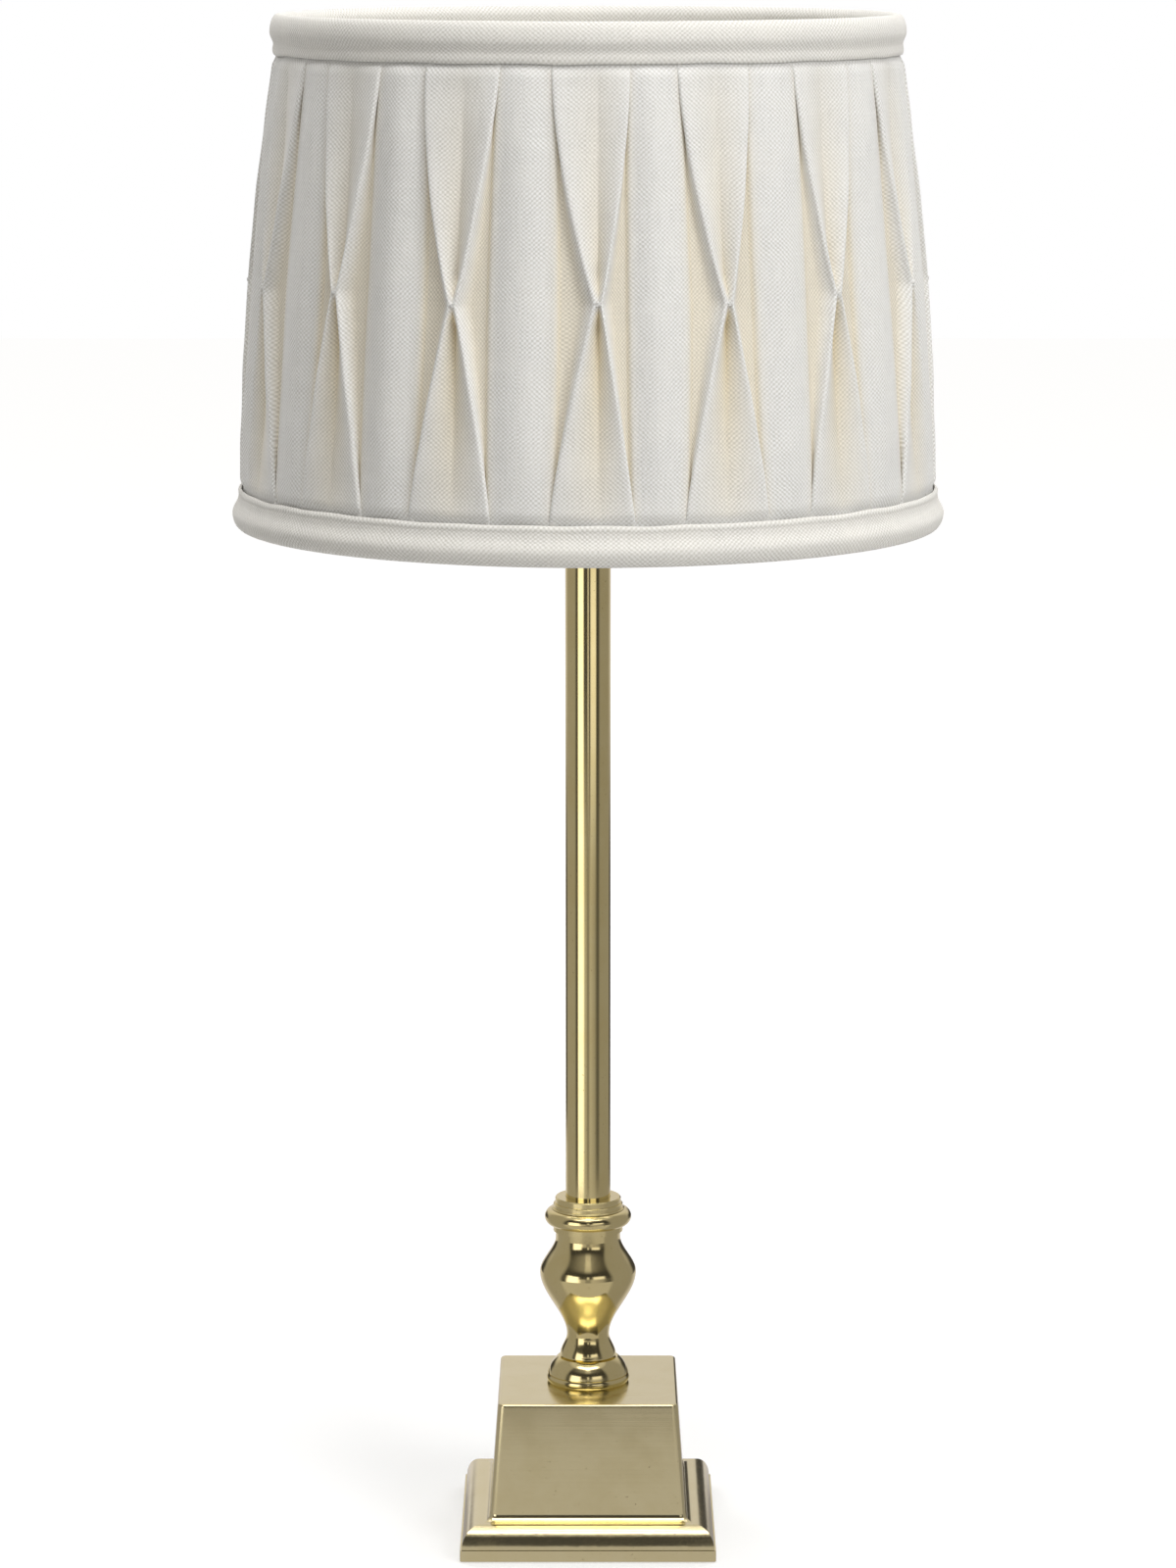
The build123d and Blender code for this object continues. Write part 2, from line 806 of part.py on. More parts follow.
def tangent_point(radius, point, turn):
    """Where a line from a point touches a circle about zero, on the side that turn (1 or -1) says."""
    angle = math.atan2(point[1], point[0]) + turn * math.acos(radius / math.hypot(*point))
    return (radius * math.cos(angle), radius * math.sin(angle))


def band_outline(ring_radius, ring_level, roll, up):
    """A band's section: down the outside, round the wire and up inside the liner."""
    edge_rise = band_height - roll
    tail_rise = band_turn_in - roll
    edge_radius = liner_radius(ring_level + up * edge_rise) + pleat_bed + layer_gap
    tail_radius = liner_radius(ring_level + up * tail_rise) - liner_thickness - layer_gap

    def place(point):
        return (ring_radius + point[0], ring_level + up * point[1])

    def side(cloth):
        """One face of the cloth, with points counted from the wire's middle."""
        around_wire = roll - band_cloth + cloth
        edge = (edge_radius + cloth - ring_radius, edge_rise)
        tail = (tail_radius - cloth - ring_radius, tail_rise)
        outer_touch = tangent_point(around_wire, edge, -1)
        inner_touch = tangent_point(around_wire, tail, 1)
        return [
            Line(place(edge), place(outer_touch)),
            ThreePointArc(place(outer_touch), place((0, -around_wire)), place(inner_touch)),
            Line(place(inner_touch), place(tail)),
        ]

    inside = side(0)
    outside = side(band_cloth)
    ends = [Line(inside[0] @ 0, outside[0] @ 0), Line(inside[-1] @ 1, outside[-1] @ 1)]
    return inside + outside + ends


def make_top_band():
    return turned(band_outline(top_ring_radius, z_top_ring, top_roll_radius, -1))


def make_bottom_band():
    """The lower band, pierced where the fitter's wires leave the ring."""
    band = turned(band_outline(bottom_ring_radius, z_bottom_ring, bottom_roll_radius, 1))
    inward = Plane(origin=(bottom_ring_radius, 0, z_bottom_ring), z_dir=(-1, 0, 0))
    wire_hole = inward * disc(arm_radius + wire_gap, 0, bottom_wire_radius + arm_run)
    for hole in around(wire_hole):
        band -= hole
    return band


def pleat_section(level, half_angle, skirt_angle, ridge, valley, foot_rise, panel):
    """One level of the pleated cloth: for each pleat two ridges, the valley between and a panel."""
    base = liner_radius(level)

    def point(angle, rise):
        turn = math.radians(angle)
        return ((base + rise) * math.cos(turn), (base + rise) * math.sin(turn), level)

    pitch = 360 / pleat_count
    edges = []
    for i in range(pleat_count):
        middle = -90 + i * pitch
        foot_angle = half_angle + skirt_angle
        edges += lines(
            point(middle - foot_angle, foot_rise),
            point(middle - half_angle, ridge),
            point(middle, valley),
            point(middle + half_angle, ridge),
            point(middle + foot_angle, foot_rise),
        )
        edges.append(
            ThreePointArc(
                point(middle + foot_angle, foot_rise),
                point(middle + pitch / 2, panel),
                point(middle + pitch - foot_angle, foot_rise),
            )
        )
    return Wire(edges)


def make_shade_pleats():
    """The linen: box pleats held flat by both bands and drawn together at the pinch."""
    top_edge = z_shade_top - band_height
    bottom_edge = z_shade + band_height
    pinch = z_shade + pinch_height
    wide = pleat_face_angle / 2
    narrow = pinch_angle / 2
    middle = (wide + narrow) / 2
    flat = (pleat_bed, pleat_bed, pleat_bed, pleat_bed)
    mouth = (mouth_ridge, mouth_valley, pleat_bed, panel_mouth)
    fold = (fold_ridge, fold_valley, foot_of_fold, panel_swell)
    drawn = (pinch_ridge, pinch_valley, pleat_bed, panel_swell)
    sections = [
        pleat_section(bottom_edge - pleat_tuck, wide, mouth_undercut_angle, *flat),
        pleat_section(bottom_edge, wide, mouth_undercut_angle, *flat),
        pleat_section(bottom_edge + pleat_gape, wide, -mouth_undercut_angle, *mouth),
        pleat_section((bottom_edge + pinch) / 2, middle, -fold_undercut_angle, *fold),
        pleat_section(pinch, narrow, pinch_skirt_angle, *drawn),
        pleat_section((top_edge + pinch) / 2, middle, -fold_undercut_angle, *fold),
        pleat_section(top_edge - pleat_gape, wide, -mouth_undercut_angle, *mouth),
        pleat_section(top_edge, wide, mouth_undercut_angle, *flat),
        pleat_section(top_edge + pleat_tuck, wide, mouth_undercut_angle, *flat),
    ]
    cloth = Solid.make_loft(sections, ruled=True)
    low = bottom_edge - pleat_tuck
    high = top_edge + pleat_tuck
    core = lines(
        (0, low),
        (liner_radius(low) + layer_gap, low),
        (liner_radius(high) + layer_gap, high),
        (0, high),
        (0, low),
    )
    return cloth - turned(core)


nodes = {
    "felt_pad": make_felt_pad(),
    "foot": make_foot(),
    "foot_screws": make_foot_screws(),
    "plinth": make_plinth(),
    "cord_bush": make_cord_bush(),
    "ballast": make_ballast(),
    "tie_rod": make_tie_rod(),
    "rod_washer": make_rod_washer(),
    "rod_nut": make_rod_nut(),
    "baluster_foot": make_baluster_foot(),
    "baluster": make_baluster(),
    "stem_cup": make_stem_cup(),
    "stem_tube": make_stem_tube(),
    "stem_cap": make_stem_cap(),
    "holder_cap": make_holder_cap(),
    "holder_skirt": make_holder_skirt(),
    "holder_core": make_holder_core(),
    "terminal_screws": make_terminal_screws(),
    "screw_shell": make_screw_shell(),
    "centre_contact": make_centre_contact(),
    "switch_bar": make_switch_bar(),
    "shade_ring": make_shade_ring(),
    "bulb_contact": make_bulb_contact(),
    "bulb_insulator": make_bulb_insulator(),
    "bulb_cap": make_bulb_cap(),
    "bulb_glass": make_bulb_glass(),
    "fitter_ring": make_fitter_ring(),
    "fitter_arms": make_fitter_arms(),
    "bottom_ring": make_wire_ring(bottom_ring_radius, bottom_wire_radius, z_bottom_ring),
    "top_ring": make_wire_ring(top_ring_radius, top_wire_radius, z_top_ring),
    "shade_liner": make_liner(),
    "shade_pleats": make_shade_pleats(),
    "bottom_band": make_bottom_band(),
    "top_band": make_top_band(),
}

os.makedirs("parts", exist_ok=True)
for name, shape in nodes.items():
    solids = Compound(shape) if isinstance(shape, list) else shape
    export_step(solids, f"parts/{name}.step")
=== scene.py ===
import math
import random

import bpy
import numpy as np
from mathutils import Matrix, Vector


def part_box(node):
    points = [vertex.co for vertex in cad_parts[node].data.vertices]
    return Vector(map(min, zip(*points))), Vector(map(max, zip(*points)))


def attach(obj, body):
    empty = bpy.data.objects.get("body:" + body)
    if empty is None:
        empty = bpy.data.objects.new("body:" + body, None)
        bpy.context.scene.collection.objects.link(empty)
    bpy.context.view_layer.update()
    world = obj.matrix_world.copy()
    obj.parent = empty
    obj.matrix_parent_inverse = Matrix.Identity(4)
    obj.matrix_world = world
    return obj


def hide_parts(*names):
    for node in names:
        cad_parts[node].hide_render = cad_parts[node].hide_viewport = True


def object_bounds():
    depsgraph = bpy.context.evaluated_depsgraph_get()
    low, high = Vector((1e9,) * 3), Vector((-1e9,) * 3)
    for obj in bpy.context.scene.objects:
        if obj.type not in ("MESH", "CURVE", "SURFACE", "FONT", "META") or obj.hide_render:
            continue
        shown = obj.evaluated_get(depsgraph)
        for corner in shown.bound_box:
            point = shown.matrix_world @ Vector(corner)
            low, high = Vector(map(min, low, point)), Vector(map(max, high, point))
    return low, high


# A table lamp: a brass candlestick on a square foot, under a drum shade of pinch-pleated linen.
# Metres, +Z up, seen from the front, -Y. Cloth, thread and felt are in millimetres, angles in degrees.

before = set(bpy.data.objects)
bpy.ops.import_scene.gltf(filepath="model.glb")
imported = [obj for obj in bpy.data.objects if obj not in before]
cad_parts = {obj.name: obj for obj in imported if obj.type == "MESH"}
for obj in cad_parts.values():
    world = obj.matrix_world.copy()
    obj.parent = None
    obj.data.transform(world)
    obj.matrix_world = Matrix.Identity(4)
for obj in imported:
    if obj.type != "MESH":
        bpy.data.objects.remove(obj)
cad_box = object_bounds()
MM = 0.001
FULL_TURN = 2 * math.pi
FRONT_ANGLE = -90
UPWARD = np.array((0.0, 0.0, 1.0))
PHASE_LIMIT = 6.28
SAME_LEVEL = 0.1 * MM

# Camera
CAMERA_DISTANCE = 2.2
CAMERA_HEIGHT = 0.7116
CAMERA_TILT = math.radians(9.848)
CAMERA_LENS = 119.6

# Fill, backdrop and floor
FILL_COLOUR = (1.0, 0.978, 0.938, 1.0)
FILL_LEVEL = 0.44
BACKDROP_COLOUR = (1.0, 1.0, 1.0, 1.0)
BACKDROP_LEVEL = 1.0
FLOOR_HALF = 6.0
FLOOR_COLOUR = (0.6, 0.6, 0.6, 1.0)
FLOOR_NEAR = 0.2
FLOOR_FAR = 2.4
FLOOR_LIFT_NEAR = 0.42
FLOOR_LIFT_FAR = 0.72

# Soft lights: bearing from the front, to the right positive, then elevation, distance and power
LIGHT_SIZE = 0.9
LIGHTS = {
    "key": (42, 30, 2.4, 18.3),
    "top": (10, 72, 2.2, 25.0),
    "back_left": (222, 35, 2.4, 15.0),
    "back_right": (138, 35, 2.4, 11.0),
}

# Cards that the brass reflects: sizes, grey levels at bearings from the front, flag's edges as (y, z)
TENT_REACH = 0.6
TENT_HEIGHT = 1.1
TENT_SEGMENTS = 96
TENT_GROUND_LEVEL = 0.2 * MM
CARD_TINT = (1.0, 0.945, 0.98)
LEFT_WALL = [(-180, 0.72), (-150, 0.74), (-125, 0.37), (-70, 0.37)]
LEFT_WALL_BARRED = [(-180, 0.72), (-160, 0.74), (-154, 0.06), (-138, 0.06), (-128, 0.37), (-70, 0.37)]
LEFT_BOX = [(-62, 0.08), (-55, 0.08), (-48, 1.8), (-26, 1.8)]
RIGHT_WALL = [(64, 0.33), (125, 0.33), (150, 0.66), (180, 0.7)]
RIGHT_WALL_BARRED = [(64, 0.33), (130, 0.33), (140, 0.06), (166, 0.06), (170, 0.66), (180, 0.7)]
RIGHT_WALL_LOW = [(64, 0.33), (125, 0.33), (140, 0.16), (166, 0.16), (170, 0.66), (180, 0.7)]
FRONT_LOW = [(-16, 0.5), (-8, 0.5), (-5, 0.28), (5, 0.28), (8, 0.5), (15, 0.5)]
FRONT_LOW += [(35, 0.36), (46, 0.12), (54, 0.12)]
FRONT_STRIPED = [(-20, 0.08), (-3, 0.08), (-1, 0.9), (2, 0.9), (4, 0.08), (10, 0.08)]
FRONT_STRIPED += [(15, 1.1), (38, 1.1), (44, 0.06), (54, 0.06)]
FRONT_DARK = [(-60, 0.05), (54, 0.05)]
FRONT_HIGH = [(-60, 0.1), (-20, 0.26), (-12, 0.27), (-7, 0.6), (7, 0.6), (12, 0.27), (30, 0.16), (54, 0.08)]
TOP_EDGE = [(-180, 0.5), (-12, 0.5), (-7, 2.6), (7, 2.6), (12, 0.5), (180, 0.5)]
GROUND_FRONT = [(-60, 0.53), (54, 0.51)]
LID = [(-180, 2.0), (-140, 2.0), (-115, 0.6), (-65, 0.6), (-45, 3.8), (45, 3.8)]
LID += [(65, 0.6), (115, 0.6), (140, 2.0), (180, 2.0)]
FLAG = [(-180, 0.06), (180, 0.06)]
FLAG_HALF_WIDTH = 0.075
FLAG_LOW_EDGE = (-0.45, 0.01)
FLAG_HIGH_EDGE = (-0.14, 0.09)

# Linen: thread pitches, how the threads drift, skew and thicken, and tones of the cloth, with painted shade
# and highlight in the weave and the folds
WARP_PITCH = 1.02 * MM
WEFT_PITCH = 0.9 * MM
THREAD_DRIFT = 1.1
WARP_DRIFT_SCALES = (0.3, 0.07, 1.0)
WEFT_DRIFT_SCALES = (0.07, 0.3, 1.0)
SKEW_SCALE = 0.05
SKEW_SPREAD = (0.35, 0.65, 0.38, 0.62)
WEFT_OVER = (-0.7, 0.8)
WARP_SLUB_SCALES = (1.0, 0.08, 1.0)
WEFT_SLUB_SCALES = (0.08, 1.0, 1.0)
SLUB_SCALE = 0.9
SLUB_SPREAD = (0.2, 0.8)
MOTTLE_SCALE = 0.04
MOTTLE_SPREAD = (0.35, 0.7, 0.0, 0.15)
# The darker under threads are painted shade at the weave's lower crossings, the lighter over threads a
# painted lit side.
SHADED_UNDER_THREADS = ((0.56, 0.55, 0.52), (0.67, 0.66, 0.63))
LIT_OVER_THREADS = ((0.78, 0.78, 0.768), (0.88, 0.88, 0.87))
AGED_LINEN = (0.83, 0.81, 0.75)
# Colour of the painted shade in the folds, also taken evenly as a warmer tone on the bands
PAINTED_SHADE_COLOUR = (0.95, 0.82, 0.56)
CROSSING_RELIEF = 0.5
SLUB_RELIEF = 0.8
WEAVE_RELIEF = 0.12
WEAVE_STRENGTH = 0.6

# Metals, mouldings and felt: scales of the noise per metre, how it is spread, tones and reliefs
PATINA_SCALE = 55.0
PATINA_SPREAD = (0.35, 0.7)
PATINA_DULLING = (0.4, 0.8, 0.0, 0.05)
SPECK_SCALE = 900.0
SPECK_SPREAD = (0.72, 0.8, 0.0, 0.5)
BRASS_STAIN = (0.3, 0.22, 0.09)
BRUSHED_SIDES = (12.0, 12.0, 2600.0)
BRUSHED_TOPS = (12.0, 2600.0, 12.0)
BRUSHED_RELIEF = 0.02
TOP_FACING = (0.8, 0.95)
UNEVEN_SCALE = 40.0
DRAWN_LINES = (60.0, 60.0, 3000.0)
DRAWN_SPREAD = (0.2, 0.8)
DRAWN_GLOSS = (-0.05, 0.08)
DRAWN_RELIEF = 0.01
DRAWN_STRENGTH = 0.4
PLATING_SCALE = 120.0
PLATING_SPREAD = (0.35, 0.7)
PLATING_SHADE = 0.82
MOULDING_SCALE = 90.0
MOULDING_SPREAD = (0.3, 0.75)
GRAIN_SPREAD = (0.3, 0.7)
GRAIN_RELIEF = 0.03
GRAIN_STRENGTH = 0.5
FIBRE_SCALE = 2600.0
FIBRE_SPREAD = (0.3, 0.7)
FIBRE_TONES = ((0.02, 0.02, 0.02), (0.09, 0.088, 0.085))
FIBRE_RELIEF = 0.25
FIBRE_STRENGTH = 0.8
CLUMP_SCALE = 320.0
CLUMP_SPREAD = (0.4, 0.7, 0.0, 0.4)
CLUMP_TONE = (0.05, 0.05, 0.05)

# Pinch pleats: angles from a pleat's middle, heights above the liner. Knots run from the pinch to a mouth.
# The ridge's roll is (angle past it, drop), the panel's shoulder (angle past the edge, share, painted fold
# shade).
PLEAT_COUNT = 16
PLEAT_SEED = 16
PITCH = 360 / PLEAT_COUNT
FRONT_TURNS = {-3: -2.0, -2: -1.0, -1: 0.6, 0: 1.7, 1: 0.2, 2: 0.0, 3: 2.0}
MOUTH_HALF_ANGLE = 6.4
PINCH_HALF_ANGLE = 0.42
PINCH_LEVEL = 104.0
PLEAT_TUCK = 4.0
GAPE = 5.0
ROWS_PER_HALF = 52
PINCH_CROWDING = 1.4
MOUTH_CROWDING = 1.6
CLOTH_BED = 1.15
CLOTH_THICKNESS = 0.35
WALL_STEPS = (0, 0.06, 0.14, 0.24, 0.36, 0.5, 0.64, 0.77, 0.88, 0.96)
WALL_BULGE = 0.08
WALL_BULGE_POWER = 13
VALLEY_HEIGHTS = [(0, 5.4), (0.03, 4.4), (0.12, 1.0), (0.6, 0.95), (0.85, 1.5), (1, 2.3)]
RIDGE_HEIGHTS = [(0, 6.1), (0.35, 5.6), (0.7, 4.3), (1, 3.0)]
RIDGE_ROLL = [(0.0, 0.0), (0.18, 0.08), (0.35, 0.35), (0.46, 0.85), (0.48, 1.4)]
FLANK_STEPS = (0.3, 0.6, 0.85)
FLANK_RUN = 1.6
FLANK_END = 0.75
FLANK_TAPER = 1.2
FLANK_SAG = 1.3
UNDERCUT = 0.35
UNDERCUT_START = 0.65
UNDERCUT_LENGTH = 0.25
RECESS = 0.7
RECESS_STEPS = (0.1, 0.5, 0.9)
RECESS_LEAST = 0.6
RECESS_MARGIN = 0.5
PANEL_EDGE_ANGLE = 5.9
PANEL_MOUTH_ANGLE = MOUTH_HALF_ANGLE + 0.1
PANEL_EDGE_HEIGHTS = [(0, 2.6), (0.6, 2.5), (1, 2.3)]
PANEL_CREST_HEIGHTS = [(0, 5.2), (0.6, 4.8), (1, 3.2)]
PANEL_STEPS = (0.2, 0.45, 0.72, 1.0)
PANEL_SHOULDER = [
    (-0.45, 0.1, 0.58),
    (-0.22, 0.34, 0.5),
    (0.0, 0.6, 0.36),
    (0.25, 0.8, 0.22),
    (0.6, 0.92, 0.12),
    (1.1, 1.0, 0.05),
]
RIPPLE = 0.4
RIPPLE_LENGTH = 17
LEAN_FADE = 1.5

# Painted fold shade, which darkens and warms the linen: valleys of the lower and the upper half, and the
# recess
VALLEY_PAINTED_SHADE = (1.0, 0.5)
RECESS_PAINTED_SHADE = 0.46
PAINTED_SHADE_START = 0.06
PAINTED_SHADE_FADE = 0.8

# Limits within which one pleat differs from the next
TURN_SPREAD = 1.0
PINCH_SHIFT_SPREAD = 0.5
PINCH_RISE_SPREAD = 2.0
MOUTH_SHIFT_SPREAD = 0.45
BOWS = [(1.1, 1.35), (1.1, 1.35), (1.4, 2.0), (1.3, 1.9)]
VALLEY_SPREAD = (0.85, 1.15)
PANEL_SPREAD = (-0.3, 0.4)

# Stitches: rise and slope of each turn of thread, and the arc that it takes over the ridges
STITCH_TURNS = [(-0.55, 0.25), (0.0, -0.3), (0.5, 0.15)]
STITCH_ARC = 220
STITCH_POINTS = 9
STITCH_SEAT = 4.9
STITCH_HEIGHT = 1.45
STITCH_HALF_WIDTH = 1.55
THREAD_RADIUS = 0.28
THREAD_SIDES = 6

# Bands: strips of linen round the rims' wires, with reaches and rises from a wire's middle.
# A band's hem lies up or down from its wire, its face is more or less full, and its hem may have a bead.
BAND_CLOTH = 0.6
BAND_LIFT = 0.25
BAND_SEGMENTS = 320
BAND_WARMTH = 0.1
BAND_WAVES = 6
BAND_WAVE_COUNTS = (5, 40)
BAND_PUCKER = 0.12
BAND_TURN_IN = 9.0
HEM_REACH = 1.5
HEM_TUCK = 0.1
HEM_WANDER = 0.45
HEM_WANDER_WIDTH = 5
HEM_BEAD_CURVE = [(0, 0), (0.9, 1), (2.4, 0)]
FACE_STEPS = (0.985, 0.95, 0.9, 0.84, 0.78, 0.71, 0.64, 0.57, 0.5, 0.42, 0.34, 0.26, 0.18, 0.1)
FACE_CURVE = [(0.55, -0.05), (0.8, 0.3), (0.92, 0.28), (1, 0.0)]
OUTER_ROLL = range(0, 90, 10)
INNER_ROLL = range(90, 190, 16)
TAIL_STEPS = (0.25, 0.5, 0.75, 1.0)
TAIL_CLEARANCE = 0.2
LINER_THICKNESS = 0.5
TOP_BAND = {
    "node": "top_band", "ring_node": "top_ring", "up": -1, "seed": 3,
    "roll": 3.0, "belly": 4.0, "full": 0.95, "bead": 0.0,
}
BOTTOM_BAND = {
    "node": "bottom_band", "ring_node": "bottom_ring", "up": 1, "seed": 4,
    "roll": 3.1, "belly": 2.5, "full": 0.35, "bead": 0.55,
}

# Felt: its outline, and its soft edge as (inset, depth below a face)
FELT_CORNER = 1.4
FELT_CORNER_STEPS = 4
FELT_STEP = 2.5
FELT_EDGE = [(0.9, 0.0), (0.35, 0.06), (0.0, 0.45)]
FELT_CLEARANCE = 0.1
FELT_FRAY = 0.08
FELT_WAVES = 5
FELT_WAVE_COUNTS = (20, 90)
FELT_SEED = 5


class Graph:
    """Short calls for making and joining shader nodes."""

    def __init__(self, tree):
        self.tree = tree

    def node(self, kind, **settings):
        made = self.tree.nodes.new(kind)
        for name, value in settings.items():
            setattr(made, name, value)
        return made

    def put(self, socket, value):
        """Sets a socket to a number or colour, or links it to another socket."""
        if isinstance(value, bpy.types.NodeSocket):
            self.tree.links.new(value, socket)
        else:
            socket.default_value = value

    def math(self, operation, a, b=0.0):
        made = self.node("ShaderNodeMath", operation=operation)
        self.put(made.inputs[0], a)
        self.put(made.inputs[1], b)
        return made.outputs[0]

    def scaled(self, vector, factors):
        made = self.node("ShaderNodeVectorMath", operation="MULTIPLY")
        self.put(made.inputs[0], vector)
        made.inputs[1].default_value = factors
        return made.outputs[0]

    def parts(self, vector):
        made = self.node("ShaderNodeSeparateXYZ")
        self.put(made.inputs[0], vector)
        return made.outputs

    def noise(self, vector, scale=1.0, detail=2.0, roughness=0.5):
        made = self.node("ShaderNodeTexNoise")
        self.put(made.inputs["Vector"], vector)
        made.inputs["Scale"].default_value = scale
        made.inputs["Detail"].default_value = detail
        made.inputs["Roughness"].default_value = roughness
        return made.outputs["Fac"]

    def spread(self, value, low, high, new_low=0.0, new_high=1.0):
        """Maps low..high to new_low..new_high, with soft ends."""
        made = self.node("ShaderNodeMapRange", interpolation_type="SMOOTHSTEP")
        self.put(made.inputs["Value"], value)
        made.inputs["From Min"].default_value = low
        made.inputs["From Max"].default_value = high
        made.inputs["To Min"].default_value = new_low
        made.inputs["To Max"].default_value = new_high
        return made.outputs["Result"]

    def mix(self, factor, a, b, blend="MIX"):
        made = self.node("ShaderNodeMix", data_type="RGBA", blend_type=blend)
        self.put(made.inputs["Factor"], factor)
        colours = [s for s in made.inputs if s.type == "RGBA"]
        for socket, value in zip(colours, (a, b)):
            self.put(socket, (*value, 1.0) if isinstance(value, tuple) else value)
        return next(s for s in made.outputs if s.type == "RGBA")

    def ramp(self, value, stops):
        """A grey ramp through (place, level) stops."""
        made = self.node("ShaderNodeValToRGB")
        elements = made.color_ramp.elements
        while len(elements) < len(stops):
            elements.new(0.5)
        for element, (place, level) in zip(elements, stops):
            element.position = place
            element.color = (level, level, level, 1.0)
        self.put(made.inputs["Fac"], value)
        return made.outputs["Color"]

    def bump(self, height, distance, strength=1.0, below=None):
        """A normal bent by a height, whose relief is given in millimetres."""
        made = self.node("ShaderNodeBump")
        made.inputs["Strength"].default_value = strength
        made.inputs["Distance"].default_value = distance * MM
        self.put(made.inputs["Height"], height)
        if below is not None:
            self.put(made.inputs["Normal"], below)
        return made.outputs["Normal"]


def blank(owner):
    """The emptied node tree of a material or a world."""
    owner.use_nodes = True
    owner.node_tree.nodes.clear()
    return Graph(owner.node_tree)


def new_material(name, **values):
    """A material with one shader, whose even values are set on its own sockets."""
    material = bpy.data.materials.new(name)
    graph = blank(material)
    shader = graph.node("ShaderNodeBsdfPrincipled")
    output = graph.node("ShaderNodeOutputMaterial")
    graph.put(output.inputs["Surface"], shader.outputs["BSDF"])
    for socket, value in values.items():
        shader.inputs[socket.replace("_", " ")].default_value = value
    return material, graph, shader.inputs


def place_of(graph):
    """Where a point is on the object, in metres."""
    return graph.node("ShaderNodeTexCoord").outputs["Object"]


# Materials

def linen(name):
    """Coarse off-white plain weave with slubs, with painted shade that darkens and warms it where it is
    folded away.
    """
    material, graph, shader = new_material(
        name, Roughness=0.92, Sheen_Weight=0.12, Sheen_Roughness=0.5, Specular_IOR_Level=0.2
    )
    cloth = graph.node("ShaderNodeUVMap", uv_map="cloth").outputs["UV"]
    threads = graph.scaled(cloth, (1 / WARP_PITCH, 1 / WEFT_PITCH, 1.0))
    warp_drift = graph.noise(graph.scaled(threads, WARP_DRIFT_SCALES), detail=1.0)
    weft_drift = graph.noise(graph.scaled(threads, WEFT_DRIFT_SCALES), detail=1.0)
    even_across, even_up, _ = graph.parts(threads)
    across = graph.math("ADD", even_across, graph.math("MULTIPLY", warp_drift, THREAD_DRIFT))
    up = graph.math("ADD", even_up, graph.math("MULTIPLY", weft_drift, THREAD_DRIFT))
    rising = graph.math("COSINE", graph.math("MULTIPLY", graph.math("SUBTRACT", across, up), math.pi))
    falling = graph.math("COSINE", graph.math("MULTIPLY", graph.math("ADD", across, up), math.pi))
    skew = graph.spread(graph.noise(threads, SKEW_SCALE, detail=1.0), *SKEW_SPREAD)
    turned = graph.math("MULTIPLY", skew, graph.math("ADD", rising, falling))
    crossing = graph.math("SUBTRACT", rising, turned)
    weft_over = graph.spread(crossing, *WEFT_OVER)
    warp_slub = graph.noise(graph.scaled(threads, WARP_SLUB_SCALES), SLUB_SCALE, roughness=0.6)
    weft_slub = graph.noise(graph.scaled(threads, WEFT_SLUB_SCALES), SLUB_SCALE, roughness=0.6)
    slub = graph.mix(weft_over, warp_slub, weft_slub)
    thick = graph.spread(slub, *SLUB_SPREAD)
    # The weave's checker of crossings, lit over threads and shaded under threads: painted highlight and
    # painted shade
    woven = graph.mix(weft_over, graph.mix(thick, *SHADED_UNDER_THREADS), graph.mix(thick, *LIT_OVER_THREADS))
    mottle = graph.spread(graph.noise(threads, MOTTLE_SCALE, detail=3.0), *MOTTLE_SPREAD)
    aged = graph.mix(mottle, woven, AGED_LINEN)
    # A mesh value darkens and warms the cloth towards the shade colour: painted shade in the folds, an even
    # warmer tone on the bands.
    shade_tint = graph.node("ShaderNodeAttribute", attribute_name="painted_shade_tint").outputs["Fac"]
    graph.put(shader["Base Color"], graph.mix(shade_tint, aged, PAINTED_SHADE_COLOUR, "MULTIPLY"))
    crossing_height = graph.math("MULTIPLY", crossing, CROSSING_RELIEF)
    slub_height = graph.math("MULTIPLY", slub, SLUB_RELIEF)
    height = graph.math("ADD", crossing_height, slub_height)
    graph.put(shader["Normal"], graph.bump(height, WEAVE_RELIEF, WEAVE_STRENGTH))
    return material


def brass(name, bright, dull, roughness, brushed, uneven):
    """Lacquered brass: a slow patina, fine lines of the finish and a slightly uneven surface."""
    material, graph, shader = new_material(name, Metallic=1.0)
    place = place_of(graph)
    patina = graph.noise(place, PATINA_SCALE, detail=4.0, roughness=0.6)
    specks = graph.noise(place, SPECK_SCALE, detail=1.0)
    tone = graph.mix(graph.spread(patina, *PATINA_SPREAD), bright, dull)
    stained = graph.mix(graph.spread(specks, *SPECK_SPREAD), tone, BRASS_STAIN)
    graph.put(shader["Base Color"], stained)
    side_lines = graph.noise(graph.scaled(place, BRUSHED_SIDES), detail=3.0, roughness=0.7)
    top_lines = graph.noise(graph.scaled(place, BRUSHED_TOPS), detail=3.0, roughness=0.7)
    facing_up = graph.parts(graph.node("ShaderNodeNewGeometry").outputs["Normal"])[2]
    lines = graph.mix(graph.spread(facing_up, *TOP_FACING), side_lines, top_lines)
    lined = graph.math("MULTIPLY", graph.math("SUBTRACT", lines, 0.5), brushed)
    dulled = graph.spread(patina, *PATINA_DULLING)
    graph.put(shader["Roughness"], graph.math("ADD", graph.math("ADD", roughness, lined), dulled))
    slow = graph.bump(graph.noise(place, UNEVEN_SCALE, detail=1.0), uneven)
    graph.put(shader["Normal"], graph.bump(lines, BRUSHED_RELIEF, brushed, slow))
    return material


